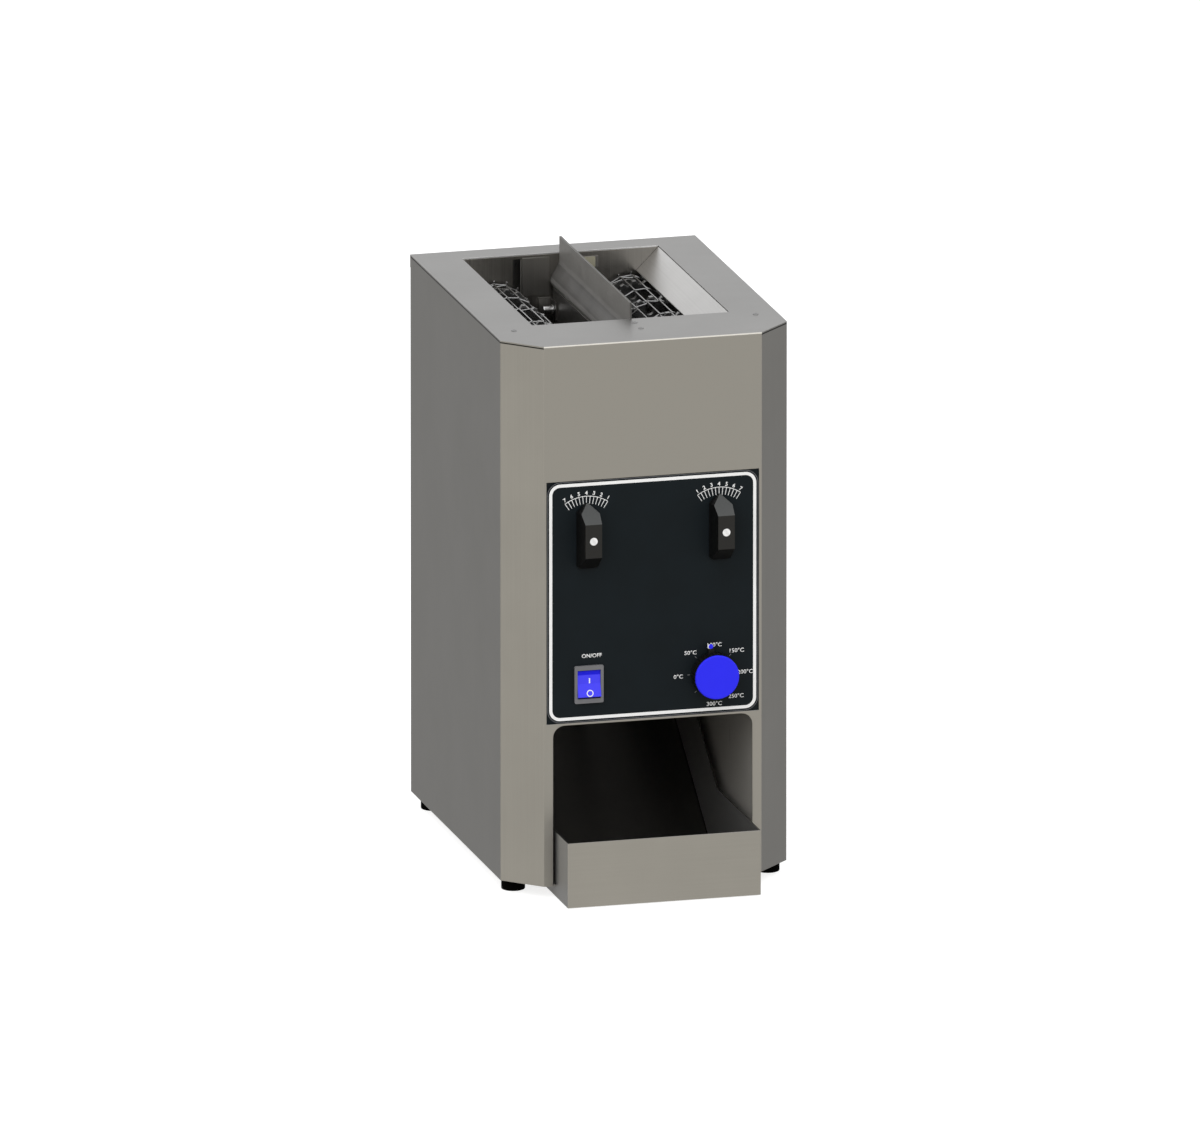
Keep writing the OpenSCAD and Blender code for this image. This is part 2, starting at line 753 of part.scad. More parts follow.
module platen() {
    color([0.5, 0.48, 0.46]) difference() {
        block([-half_platen, platen_y0, platen_z0], [half_platen, platen_y1, platen_z1]);
        for (z = elements) bar_y(0, z, platen_y0 - 1, platen_y1 - 8, element_d / 2 + 0.15);
        bar_y(0, sensor_z, platen_y0 - 1, platen_y0 + sensor_l + 5, sensor_d / 2 + 0.2);
        for (y = [platen_y0 + bolt_in, platen_y1 - bolt_in]) bar_x(y, bolt_z, -20, 20, bolt_d / 2 + 0.1);
    }
}

module heating_elements() {
    color([0.55, 0.5, 0.46]) for (z = elements) union() {
        bar_y(0, z, room_y0 - 12, platen_y1 - 10, element_d / 2);
        bar_y(0, z, room_y0 - 18, room_y0 - 11, 1.5);
    }
}

// Angle brackets that hold the platen between the bulkhead and the rear wall
module platen_brackets() {
    z0 = bolt_z - 8;
    z1 = bolt_z + 8;
    foot_w = 12;
    x = half_platen;
    color(bright) mirrored() difference() {
        union() {
            block([x, room_y0, z0], [x + ear_t, platen_y0 + bolt_in + 8, z1]);
            block([x, room_y0, z0], [x + foot_w, room_y0 + ear_t, z1]);
            block([x, platen_y1 - bolt_in - 8, z0], [x + ear_t, room_y1, z1]);
            block([x, room_y1 - ear_t, z0], [x + foot_w, room_y1, z1]);
        }
        for (y = [platen_y0 + bolt_in, platen_y1 - bolt_in]) bar_x(y, bolt_z, 0, 30, bolt_d / 2 + 0.1);
    }
    // Two stiffener plates high on the rear wall
    color(bright) {
        block([-33.5, room_y1 - sheet, top_z - 36.7], [-10, room_y1, inner_top - 2]);
        block([10, room_y1 - sheet, top_z - 15.5], [33, room_y1, inner_top - 4]);
    }
}

module platen_bolts() {
    face = half_platen + ear_t;
    color(bright) for (y = [platen_y0 + bolt_in, platen_y1 - bolt_in]) union() {
        bar_x(y, bolt_z, -face - 5.5, face + 1, bolt_d / 2);
        translate([face, y, bolt_z]) rotate([0, 90, 0]) cylinder(h = 4, r = 5.5, $fn = 6);
        translate([-face - 4.5, y, bolt_z]) rotate([0, 90, 0]) cylinder(h = 4.5, r = 5.5, $fn = 6);
    }
}

module sensor_bulb() {
    color(brass) union() {
        bar_y(0, sensor_z, platen_y0 + 1, platen_y0 + sensor_l, sensor_d / 2);
        bar_y(0, sensor_z, room_y0 - 4, platen_y0 + 2, sensor_d / 2 - 1);
    }
}

// Capillary from the sensor to the thermostat, in straight runs with round bends
module capillary_tube() {
    r = 1;
    bend = 6;
    y_turn = room_y0 - 14;
    x_end = dial_x;
    z_end = dial_z + 21;
    color(brass) union() {
        bar_y(0, sensor_z, y_turn + bend, room_y0 - 4, r);
        translate([bend, y_turn + bend, sensor_z]) rotate([0, 0, 180])
            rotate_extrude(angle = 90) translate([bend, 0]) circle(r = r, $fn = 16);
        bar_x(y_turn, sensor_z, bend, x_end - bend, r);
        translate([x_end - bend, y_turn, sensor_z - bend]) rotate([90, 0, 0])
            rotate_extrude(angle = 90) translate([bend, 0]) circle(r = r, $fn = 16);
        translate([x_end, y_turn, z_end + 0.1]) cylinder(h = sensor_z - bend - z_end - 0.1, r = r);
    }
}

// Drive

module drive_bushes() {
    color(brass) mirrored() {
        flanged_bush(drive_x, drive_z, room_y0 - sheet, -1, brush_r, drive_d / 2,
                     brush_flange, sheet + 0.8);
        flanged_bush(drive_x, drive_z, room_y1 + sheet, 1, brush_r - 1, drive_d / 2, brush_flange, 0);
        difference() {
            bar_y(drive_x, drive_z, room_y1 - 0.8, room_y1 + sheet, brush_r);
            bar_y(drive_x, drive_z, room_y1 - 5, room_y1 + 9, drive_d / 2 + run_play);
        }
    }
}

module drive_shaft() {
    color(bright) bar_y(-drive_x, drive_z, gear_y0 - 6, room_y1 + sheet + 8, drive_d / 2);
}

module wheel_places() {
    wheel_step = link_step * (link_columns - 2) / (wheel_count - 1);
    for (i = [0:wheel_count - 1])
        translate([0, belt_y0 + 4 + (link_w + link_step) / 2 + i * wheel_step, 0]) children();
}

function sprocket_outline() =
    let (corners = [[wheel_r, -7.3], [tooth_r, -3.3], [tooth_r, 3.3], [wheel_r, 7.3]])
    [for (i = [0:turn_count - 1]) for (p = corners)
        let (a = (i + 0.5 - belt_phase) * tooth_step + p[1]) [p[0] * cos(a), p[0] * sin(a)]];

module sprockets() {
    hub_r = drive_d / 2 + 4;
    color(dark_steel) wheel_places() translate([-drive_x, 0, drive_z]) difference() {
        union() {
            along_y(-2, 2) difference() {
                polygon(sprocket_outline());
                for (a = [0:60:300]) rotate(a + 15) translate([17, 0]) circle(r = 4, $fn = 24);
            }
            bar_y(0, 0, -wheel_w / 2, wheel_w / 2, hub_r);
        }
        bar_y(0, 0, -wheel_w, wheel_w, drive_d / 2 + seat_play);
    }
}

// Lower shaft with its plain wheels, which the belt turns round
module lower_roller() {
    hub_r = idler_d / 2 + 3;
    rim = 3;
    color(dark_steel) union() {
        bar_y(-drive_x, lower_z, plate_y0 - 1.5, plate_y1 + 1.5, idler_d / 2);
        wheel_places() translate([-drive_x, 0, lower_z]) rotate([-90, 0, 0]) rotate_extrude()
            polygon([[idler_d / 2 - 1, -wheel_w / 2], [hub_r, -wheel_w / 2], [hub_r, -1.2],
                     [wheel_r - rim, -1.2], [wheel_r - rim, -wheel_w / 2], [wheel_r, -wheel_w / 2], [wheel_r, wheel_w / 2],
                     [wheel_r - rim, wheel_w / 2], [wheel_r - rim, 1.2], [hub_r, 1.2], [hub_r, wheel_w / 2],
                     [idler_d / 2 - 1, wheel_w / 2]]);
    }
}

function involute(a) = tan(a) * 180 / PI - a;

// Outline of a spur gear, from its module and teeth, with pressure angle 20
function gear_outline(turn) =
    let (base = gear_r * cos(20), tip = gear_r + gear_module * 0.94, root = gear_r - gear_module * 1.25,
         half = 90 / gear_teeth - gear_backlash / 4 / gear_r * 180 / PI,
         radii = [for (i = [0:3]) base + (tip - base) * i / 3],
         angles = [for (r = radii) half + involute(20) - involute(acos(min(1, base / r)))])
    [for (t = [0:gear_teeth - 1]) let (c = (t + turn) * 360 / gear_teeth)
        for (p = concat([[root, -angles[0]]], [for (i = [0:3]) [radii[i], -angles[i]]],
                        [for (i = [3:-1:0]) [radii[i], angles[i]]], [[root, angles[0]]]))
            [p[0] * cos(c + p[1]), p[0] * sin(c + p[1])]];

module gear(x, turn, bore_r) {
    color(dark_steel) translate([x, 0, drive_z]) difference() {
        union() {
            along_y(gear_y0, gear_y1) polygon(gear_outline(turn));
            bar_y(0, 0, gear_y0 - 4, gear_y1 + 1, bore_r + 4);
        }
        bar_y(0, 0, gear_y0 - 9, gear_y1 + 9, bore_r);
    }
}

// The motor's own gear, in one piece with the output shaft
module motor_gear() {
    color(dark_steel) union() {
        translate([motor_x, 0, drive_z]) along_y(gear_y0, gear_y1) polygon(gear_outline(0.5));
        bar_y(motor_x, drive_z, box_y1 - 9, gear_y1 + 4, motor_shaft_d / 2);
    }
}

module idler_axle() {
    color(bright) union() {
        bar_y(idler_x, drive_z, gear_y0 - 7, room_y0 - sheet, axle_d / 2);
        bar_y(idler_x, drive_z, room_y0 - sheet - 4, room_y0 - sheet, axle_d / 2 + 4);
        bar_y(idler_x, drive_z, room_y0 - sheet - 1, room_y0 - 0.1, 3);
        bar_y(idler_x, drive_z, gear_y0 - 6.6, gear_y0 - 5.2, axle_d / 2 + 2.5);
    }
}

module gearmotor() {
    color([0.3, 0.3, 0.31]) difference() {
        union() {
            translate([motor_x, 0, drive_z]) along_y(box_y0, box_y1)
                polygon(round_rect(box_w, box_h, 6, 6));
            bar_y(motor_x, drive_z, motor_y0, box_y0, 26);
            bar_y(motor_x, drive_z, motor_y0 - 1.5, motor_y0, 8);
        }
        bar_y(motor_x, drive_z, box_y1 - 10, box_y1 + 1, motor_shaft_d / 2 + run_play);
    }
}

module motor_standoffs() {
    color(bright) for (x = [-post_x, post_x]) for (z = [-post_z, post_z])
        bar_y(motor_x + x, drive_z + z, box_y1, room_y0 - sheet, post_d / 2);
}

// Conveyors, at the left position

module end_plate(slotted) {
    r = end_plate_w / 2;
    slot_w = crank_pin_d + 2 * slide_play;
    slot_l = crank_pin_d + 4;
    difference() {
        polygon(concat(arc(-drive_x, drive_z, r, 0, 180, 16), arc(-drive_x, lower_z, r, 180, 360, 16)));
        translate([-drive_x, drive_z]) circle(r = drive_d / 2 + run_play);
        translate([-drive_x, lower_z]) circle(r = idler_d / 2 + run_play);
        if (slotted) translate([-knob_x, knob_z + crank_throw])
            polygon(round_rect(slot_w, slot_l, slot_w / 2 - 0.01, 6));
    }
}

module end_plates() {
    color(bright) union() {
        along_y(plate_y0, plate_y0 + end_plate_t) end_plate(true);
        along_y(plate_y1 - end_plate_t, plate_y1) end_plate(false);
        for (d = tie_drops)
            bar_y(-drive_x, drive_z - d, plate_y0 + end_plate_t - 0.5,
                  plate_y1 - end_plate_t + 0.5, tie_d / 2);
    }
}

module slider_plate() {
    x1 = turn_r - wire_d / 2 - 0.25 - drive_x;
    lip = 9;
    z1 = drive_z - turn_r;
    z0 = lower_z + turn_r;
    color(bright) along_y(plate_y0 + end_plate_t, plate_y1 - end_plate_t)
        polygon([[x1 - lip, z1], [x1, z1], [x1, z0], [x1 - lip, z0], [x1 - lip, z0 + slider_t],
                 [x1 - slider_t, z0 + slider_t], [x1 - slider_t, z1 - slider_t], [x1 - lip, z1 - slider_t]]);
}

// Point of the belt's path, u pitches on from the top turn's outer end, moved out by off
function belt_point(u, off = 0) =
    let (h = turn_count / 2, r = turn_r + off, v = u >= loop_count ? u - loop_count : u)
    v < h ? [-r * cos(v * tooth_step), r * sin(v * tooth_step)]
    : v < h + run_count ? [r, -(v - h) * belt_pitch]
    : v < 2 * h + run_count
        ? let (a = (v - h - run_count) * tooth_step) [r * cos(a), -run_count * belt_pitch - r * sin(a)]
    : [-r, -run_count * belt_pitch + (v - 2 * h - run_count) * belt_pitch];

function belt_outline(off) = [for (i = [0:loop_count - 1]) belt_point(i + belt_phase, off)];

module belt() {
    link_t = 1.2;
    color(bright) translate([-drive_x, 0, drive_z]) union() {
        along_y(belt_y0, belt_y1) for (p = belt_outline(0)) translate(p) circle(r = wire_d / 2, $fn = 8);
        for (i = [0:link_columns - 1])
            translate([0, belt_y0 + 4 + i * link_step, 0]) along_y(0, link_w) difference() {
                polygon(belt_outline(link_t / 2));
                polygon(belt_outline(-link_t / 2));
            }
    }
}

// Electrical pieces

module terminal_block() {
    w = 44;
    y0 = front_y + 36;
    z0 = outlet_z + sheet;
    color([0.85, 0.84, 0.8]) difference() {
        block([-w / 2, y0, z0], [w / 2, y0 + 20, z0 + 17]);
        for (i = [0:3]) for (y = [y0 - 1, y0 + 9])
            translate([10.5 * i - w / 2, y, z0 + 5]) block([3, 0, 0], [10, 12, 13]);
    }
}

module power_inlet() {
    pin_w = 2;
    color(black) translate([inlet_x, rear_y, inlet_z]) union() {
        difference() {
            union() {
                along_y(0, inlet_flange) polygon(round_rect(inlet_w, inlet_h, 5, 6));
                translate([0, -9, 0]) cube([inlet_body_w, 20, inlet_body_h], center = true);
            }
            translate([0, -6, 0]) cube([inlet_body_w - 3.4, 20, inlet_body_h - 3.4], center = true);
            for (x = [-20, 20]) bar_y(x, 0, -1, inlet_flange + 1, 1.75);
        }
        for (p = [[-7, -2], [0, 3], [7, -2]])
            translate([p[0], -9, p[1]]) cube([pin_w, 16, 4], center = true);
    }
}

// Chute: tray, bend and ramp folded from one sheet
function chute_side(t) =
    let (a = ramp_angle, b = tan(a / 2), h = tray_h - t, z = tray_up + t, k = chute_bend - t * b)
    [[chute_front + t, z], [k, z], [chute_end + t * sin(a), z + (chute_end + t * sin(a) - k) * tan(a)],
     [chute_end - tray_h * sin(a), tray_up + ramp_rise + tray_h * cos(a)],
     [chute_bend - tray_h * b, tray_up + tray_h], [chute_front + t, tray_up + tray_h]];

module chute() {
    t = sheet;
    y_in = chute_bend - t * tan(ramp_angle / 2);
    z_in = tray_up + t;
    y_out = chute_end + 20;
    color(steel) difference() {
        along_x(-chute_x, chute_x) polygon(chute_side(0));
        along_x(t - chute_x, chute_x - t)
            polygon([[chute_front + t, z_in], [y_in, z_in], [y_out, z_in + (y_out - y_in) * tan(ramp_angle)],
                     [y_out, top_z], [chute_front + t, top_z]]);
    }
}

base_pan();
mirror([1, 0, 0]) side_panel();  // left_side_panel
side_panel();  // right_side_panel
rear_panel();
front_panel();
top_lid();
lid_screws();
rear_screws();
feet();
foot_screws();
mirror([1, 0, 0]) inner_wall();  // left_inner_wall
inner_wall();  // right_inner_wall
front_bulkhead();
hopper_rear_wall();
mirror([1, 0, 0]) hopper_guide();  // left_hopper_guide
hopper_guide();  // right_hopper_guide
control_plate();
control_backing();
platen();
platen_fin();
heating_elements();
platen_brackets();
platen_bolts();
drive_bushes();
knob_bushes();
gearmotor();
motor_standoffs();
idler_axle();
thermostat_body();
sensor_bulb();
capillary_tube();
switch_housing();
terminal_block();
power_inlet();
drive_shaft();  // left_drive_shaft
sprockets();  // left_sprockets
gear(-drive_x, 0, drive_d / 2 + seat_play);  // left_drive_gear
mirror([1, 0, 0]) drive_shaft();  // right_drive_shaft
mirror([1, 0, 0]) sprockets();  // right_sprockets
gear(drive_x, 0.5, drive_d / 2 + seat_play);  // right_drive_gear
motor_gear();
gear(idler_x, 0, axle_d / 2 + run_play);  // idler_gear
end_plates();  // left_end_plates
slider_plate();  // left_slider_plate
belt();  // left_belt
lower_roller();  // left_lower_roller
mirror([1, 0, 0]) end_plates();  // right_end_plates
mirror([1, 0, 0]) slider_plate();  // right_slider_plate
mirror([1, 0, 0]) belt();  // right_belt
mirror([1, 0, 0]) lower_roller();  // right_lower_roller
knob();  // left_knob
knob_cap();  // left_knob_cap
knob_shaft();  // left_knob_shaft
mirror([1, 0, 0]) knob();  // right_knob
mirror([1, 0, 0]) knob_cap();  // right_knob_cap
mirror([1, 0, 0]) knob_shaft();  // right_knob_shaft
thermostat_knob();
thermostat_cap();
rocker();
chute();
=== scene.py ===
# %% [markdown]
# # Dressing a bun toaster
# The toaster's sheet metal, knobs, gears and belts come from its construction model, at
# their real size. This lesson gives every surface its finish, and adds what a construction
# model leaves out: printed scales, bent wire strands, rounded edges and light.

# %% Load the construction model
import bpy
import bmesh
import json
import math
from mathutils import Matrix, Vector


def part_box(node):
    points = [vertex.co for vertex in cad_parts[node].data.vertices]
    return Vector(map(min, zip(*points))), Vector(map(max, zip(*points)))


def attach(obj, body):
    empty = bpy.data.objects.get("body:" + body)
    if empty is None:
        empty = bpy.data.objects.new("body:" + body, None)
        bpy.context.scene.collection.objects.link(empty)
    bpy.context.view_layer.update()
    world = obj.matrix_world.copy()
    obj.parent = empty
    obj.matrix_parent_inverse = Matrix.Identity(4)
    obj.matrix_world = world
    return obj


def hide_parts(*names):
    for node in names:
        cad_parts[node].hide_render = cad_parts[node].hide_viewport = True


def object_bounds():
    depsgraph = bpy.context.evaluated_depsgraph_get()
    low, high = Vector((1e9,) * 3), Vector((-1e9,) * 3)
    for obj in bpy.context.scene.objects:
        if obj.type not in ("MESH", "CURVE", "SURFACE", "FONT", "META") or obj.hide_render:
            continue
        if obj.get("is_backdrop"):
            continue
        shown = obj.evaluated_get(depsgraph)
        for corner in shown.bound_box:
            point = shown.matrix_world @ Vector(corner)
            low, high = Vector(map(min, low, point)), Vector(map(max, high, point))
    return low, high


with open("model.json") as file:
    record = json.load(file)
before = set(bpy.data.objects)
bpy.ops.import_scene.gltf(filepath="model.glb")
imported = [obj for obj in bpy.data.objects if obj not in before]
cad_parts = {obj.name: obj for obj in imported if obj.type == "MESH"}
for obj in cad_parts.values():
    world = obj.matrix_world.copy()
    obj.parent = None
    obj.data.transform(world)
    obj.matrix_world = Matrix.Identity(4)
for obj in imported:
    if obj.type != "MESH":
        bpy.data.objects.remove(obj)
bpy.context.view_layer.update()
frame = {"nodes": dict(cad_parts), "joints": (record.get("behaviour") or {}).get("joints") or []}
MM = 0.001
nodes = frame["nodes"]

# %% [markdown]
# ## Where things are
# Most places are read from the model's own boxes. The front panel and the black plate give
# the planes that the print and the knobs sit on, and the joints give the axes of knobs and
# belts. So a new size in the model moves these pieces too.

# %% Planes and axes
joints = {j["name"]: j for j in frame["joints"]}
FRONT_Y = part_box("front_panel")[0].y
PLATE_LOW, PLATE_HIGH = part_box("control_plate")
PLATE_Y = PLATE_LOW.y


def axis_of(joint):
    """The point in the row frame that a joint turns about."""
    return Vector(joints[joint]["pos_m"])


print("front panel at y =", round(FRONT_Y, 4), "plate at y =", round(PLATE_Y, 4))

# %% [markdown]
# ## Camera
# The picture is a parallel view: edges that run the same way stay parallel. It looks from
# 15 degrees to the left and 15 degrees above. An orthographic camera would do, but a very
# long lens far away gives the same picture.

# %% Camera
TURN = math.radians(-15)
TILT = math.radians(15)
FRAME_W_PX = 1200
PX_PER_MM = 1.18259
AIM = Vector((-46.1 * MM, FRONT_Y, 291.8 * MM))
DISTANCE = 42.0
HALF_DEPTH = 0.16
SENSOR_MM = 36.0


def show(name, data):
    """A new object in the scene, for a camera, lamp, mesh or curve."""
    made = bpy.data.objects.new(name, data)
    bpy.context.scene.collection.objects.link(made)
    return made


frame_w = FRAME_W_PX / PX_PER_MM * MM
forward = Vector((-math.sin(TURN) * math.cos(TILT), math.cos(TURN) * math.cos(TILT),
                  -math.sin(TILT)))
lens = bpy.data.cameras.new("camera")
lens.sensor_width = SENSOR_MM
lens.lens = SENSOR_MM * DISTANCE / frame_w
lens.clip_start = 1.0
lens.clip_end = 100.0
camera = show("camera", lens)
camera.location = AIM - forward * (DISTANCE - HALF_DEPTH)
camera.rotation_euler = (math.pi / 2 - TILT, 0, TURN)
bpy.context.scene.camera = camera
print("lens", round(lens.lens), "mm, frame", round(frame_w, 3), "m wide")

# %% [markdown]
# ## Node helpers
# Materials are built from nodes. Short helpers keep that readable: they add a node and set
# its inputs, join sockets, and make a group with named sockets. Two more are the last nodes
# of most groups. A Mix node has its colour sockets behind others, so they are named here.

# %% Node helpers
SOCKETS = {"vector": "NodeSocketVector", "colour": "NodeSocketColor", "value": "NodeSocketFloat"}
RGBA = {"data_type": "RGBA"}
MIX_A, MIX_B, MIX_OUT = 6, 7, 2


def add(tree, kind, settings=None, values=None, **inputs):
    """A node of that kind. Values set inputs by number, and the rest set them by name."""
    node = tree.nodes.new(kind)
    for key, value in (settings or {}).items():
        setattr(node, key, value)
    for number, value in (values or {}).items():
        node.inputs[number].default_value = value
    for key, value in inputs.items():
        node.inputs[key.replace("_", " ")].default_value = value
    return node


def maths(tree, operation, values=None):
    return add(tree, "ShaderNodeMath", {"operation": operation}, values)


def vector_maths(tree, operation, values=None):
    return add(tree, "ShaderNodeVectorMath", {"operation": operation}, values)


def join(tree, *pairs):
    """Links (node, output) to (node, input), for each pair."""
    for (a, out), (b, into) in pairs:
        tree.links.new(a.outputs[out], b.inputs[into])


def group(name, inputs, outputs):
    """A shader group. Inputs are (name, kind, default), and outputs are (name, kind)."""
    tree = bpy.data.node_groups.new(name, "ShaderNodeTree")
    for label, kind, default in inputs:
        socket = tree.interface.new_socket(label, in_out="INPUT", socket_type=SOCKETS[kind])
        socket.default_value = default
    for label, kind in outputs:
        tree.interface.new_socket(label, in_out="OUTPUT", socket_type=SOCKETS[kind])
    print("shader group", name)
    return tree, tree.nodes.new("NodeGroupInput"), tree.nodes.new("NodeGroupOutput")


def scale_both(tree, gin, gout, tone_by, rough_by):
    """Ends a group: Tone and Roughness come out multiplied by these nodes' values."""
    tint = vector_maths(tree, "SCALE")
    rough = maths(tree, "MULTIPLY")
    join(tree, ((gin, "Tone"), (tint, 0)), ((tone_by, 0), (tint, "Scale")),
         ((tint, 0), (gout, "Colour")), ((gin, "Roughness"), (rough, 0)),
         ((rough_by, 0), (rough, 1)), ((rough, 0), (gout, "Roughness")))


def mix_tones(tree, gin, gout, mask, other):
    """Ends a group: Tone turns to another input's colour where the mask is 1."""
    mix = add(tree, "ShaderNodeMix", RGBA)
    join(tree, ((mask, 0), (mix, 0)), ((gin, "Tone"), (mix, MIX_A)), ((gin, other), (mix, MIX_B)),
         ((mix, MIX_OUT), (gout, "Colour")), ((mask, 0), (gout, "Mask")))


# %% [markdown]
# ## Brushed grain
# Brushed sheet carries fine parallel scratches. Noise that is stretched a hundredfold along
# one axis looks like them. The group stretches Object coordinates, so one group serves
# every sheet: a vertical grain is short in X and Y and long in Z.

# %% Brushed grain group
WHITE = (1.0, 1.0, 1.0, 1.0)
NOISE_LOW = 0.3
NOISE_HIGH = 0.7


def make_grain():
    tree, gin, gout = group(
        "brushed_grain",
        [("Vector", "vector", (0, 0, 0)), ("Stretch", "vector", (900, 900, 8)),
         ("Tone", "colour", WHITE), ("Contrast", "value", 0.1), ("Roughness", "value", 0.4)],
        [("Colour", "colour"), ("Roughness", "value"), ("Height", "value")])
    stretched = vector_maths(tree, "MULTIPLY")
    fine = add(tree, "ShaderNodeTexNoise", Scale=1.0, Detail=4.0, Roughness=0.65)
    low = maths(tree, "SUBTRACT", {0: 1.0})
    shade = add(tree, "ShaderNodeMapRange", From_Min=NOISE_LOW, From_Max=NOISE_HIGH)
    join(tree, ((gin, "Vector"), (stretched, 0)), ((gin, "Stretch"), (stretched, 1)),
         ((stretched, 0), (fine, "Vector")), ((fine, 0), (shade, "Value")),
         ((gin, "Contrast"), (low, 1)), ((low, 0), (shade, "To Min")), ((fine, 0), (gout, "Height")))
    scale_both(tree, gin, gout, shade, shade)
    return tree


GRAIN = make_grain()

# %% [markdown]
# ## Handling marks
# A catering machine is wiped daily, so its sheet has soft clouds where cloth and fingers
# went. A slow noise gives the clouds. Where it is high, the sheet is rougher and darker.

# %% Handling marks group


def make_handling():
    tree, gin, gout = group(
        "handling_marks",
        [("Vector", "vector", (0, 0, 0)), ("Size", "value", 12.0), ("Tone", "colour", WHITE),
         ("Roughness", "value", 0.4), ("Amount", "value", 0.1)],
        [("Colour", "colour"), ("Roughness", "value")])
    cloud = add(tree, "ShaderNodeTexNoise", Detail=3.0, Roughness=0.55)
    centre = maths(tree, "SUBTRACT", {1: 0.5})
    swing = maths(tree, "MULTIPLY")
    more = maths(tree, "ADD", {1: 1.0})
    less = maths(tree, "SUBTRACT", {0: 1.0})
    join(tree, ((gin, "Vector"), (cloud, "Vector")), ((gin, "Size"), (cloud, "Scale")),
         ((cloud, 0), (centre, 0)), ((centre, 0), (swing, 0)), ((gin, "Amount"), (swing, 1)),
         ((swing, 0), (more, 0)), ((swing, 0), (less, 1)))
    scale_both(tree, gin, gout, less, more)
    return tree


HANDLING = make_handling()

# %% [markdown]
# ## Worn edges
# Sheet edges lose their dull skin first and shine, and the same brightening also serves as a
# painted highlight along edges. The Bevel node gives the normal that a slightly rounded edge
# would have. Where it leaves the true normal, there is an edge.

# %% Worn edges group


def make_edges():
    tree, gin, gout = group(
        "wear_and_edge_highlight",
        [("Tone", "colour", WHITE), ("Bright", "colour", WHITE), ("Radius", "value", 0.0006)],
        [("Colour", "colour"), ("Mask", "value"), ("Normal", "vector")])
    soft = add(tree, "ShaderNodeBevel", {"samples": 4})
    true = add(tree, "ShaderNodeNewGeometry")
    dot = vector_maths(tree, "DOT_PRODUCT")
    mask = add(tree, "ShaderNodeMapRange", From_Min=0.995, From_Max=0.8)
    join(tree, ((gin, "Radius"), (soft, "Radius")), ((soft, 0), (dot, 0)),
         ((true, "Normal"), (dot, 1)), ((dot, "Value"), (mask, "Value")),
         ((soft, 0), (gout, "Normal")))
    mix_tones(tree, gin, gout, mask, "Bright")
    return tree


EDGES = make_edges()

# %% [markdown]
# ## Moulded skin
# Plastic and paint have a faint orange-peel skin. A small even noise feeds a Bump node, and
# a second slow one varies the gloss, which is what tells plastic from a flat colour.

# %% Moulded skin group


def make_skin():
    tree, gin, gout = group(
        "moulded_skin",
        [("Vector", "vector", (0, 0, 0)), ("Pore", "value", 900.0), ("Tone", "colour", WHITE),
         ("Roughness", "value", 0.5), ("Vary", "value", 0.1)],
        [("Colour", "colour"), ("Roughness", "value"), ("Height", "value")])
    pores = add(tree, "ShaderNodeTexNoise", Detail=2.0)
    cloud = add(tree, "ShaderNodeTexNoise", Scale=40.0, Detail=3.0)
    shade = add(tree, "ShaderNodeMapRange", From_Min=NOISE_LOW, From_Max=NOISE_HIGH)
    low = maths(tree, "SUBTRACT", {0: 1.0})
    join(tree, ((gin, "Vector"), (pores, "Vector")), ((gin, "Pore"), (pores, "Scale")),
         ((gin, "Vector"), (cloud, "Vector")), ((cloud, 0), (shade, "Value")),
         ((gin, "Vary"), (low, 1)), ((low, 0), (shade, "To Min")), ((pores, 0), (gout, "Height")))
    scale_both(tree, gin, gout, shade, shade)
    return tree


SKIN = make_skin()

# %% [markdown]
# ## Facets and bands
# Two small masks serve parts with more than one tone. One picks the facets that look a given
# way, such as a black knob's nose, which is painted lighter as a painted highlight. The other
# picks a band of height, such as the part of the rocker that the bezel shades. Both move with
# their part.

# %% Facet and band groups


def make_facet():
    tree, gin, gout = group(
        "facet_tone",
        [("Tone", "colour", WHITE), ("Facet", "colour", WHITE), ("Way", "vector", (0, -1, 0))],
        [("Colour", "colour"), ("Mask", "value")])
    true = add(tree, "ShaderNodeNewGeometry")
    dot = vector_maths(tree, "DOT_PRODUCT")
    mask = add(tree, "ShaderNodeMapRange", From_Min=0.8, From_Max=0.86)
    join(tree, ((true, "True Normal"), (dot, 0)), ((gin, "Way"), (dot, 1)),
         ((dot, "Value"), (mask, "Value")))
    mix_tones(tree, gin, gout, mask, "Facet")
    return tree


def make_band():
    tree, gin, gout = group(
        "height_band",
        [("Vector", "vector", (0, 0, 0)), ("Tone", "colour", WHITE), ("Band", "colour", WHITE),
         ("Start", "value", 0.0), ("Full", "value", 0.1)],
        [("Colour", "colour"), ("Mask", "value")])
    split = add(tree, "ShaderNodeSeparateXYZ")
    mask = add(tree, "ShaderNodeMapRange")
    join(tree, ((gin, "Vector"), (split, 0)), ((split, "Z"), (mask, "Value")),
         ((gin, "Start"), (mask, "From Min")), ((gin, "Full"), (mask, "From Max")))
    mix_tones(tree, gin, gout, mask, "Band")
    return tree


FACET = make_facet()
BAND = make_band()

# %% [markdown]
# ## Steel
# One function makes every steel in the machine. The grain's direction, the tone and the
# roughness differ between the casing, the darker inner walls and the turned shafts, while
# marks and worn edges, whose brightening is partly a painted highlight, come from the shared
# groups. Metallic is a constant, so it is set on the shader itself.

# %% Steel
ALONG_Z = (900, 900, 6)
ALONG_X = (6, 900, 900)
ALONG_Y = (900, 6, 900)


def start_material(name):
    """A new material with its Principled shader and Object coordinates."""
    material = bpy.data.materials.new(name)
    material.use_nodes = True
    tree = material.node_tree
    return material, tree, tree.nodes["Principled BSDF"], add(tree, "ShaderNodeTexCoord")


def rgb(r, g, b):
    return (r, g, b, 1.0)


def grey(value, warmth=0.0):
    """A linear grey, a little warmer or colder."""
    return rgb(value * (1 + warmth), value, value * (1 - 1.5 * warmth))


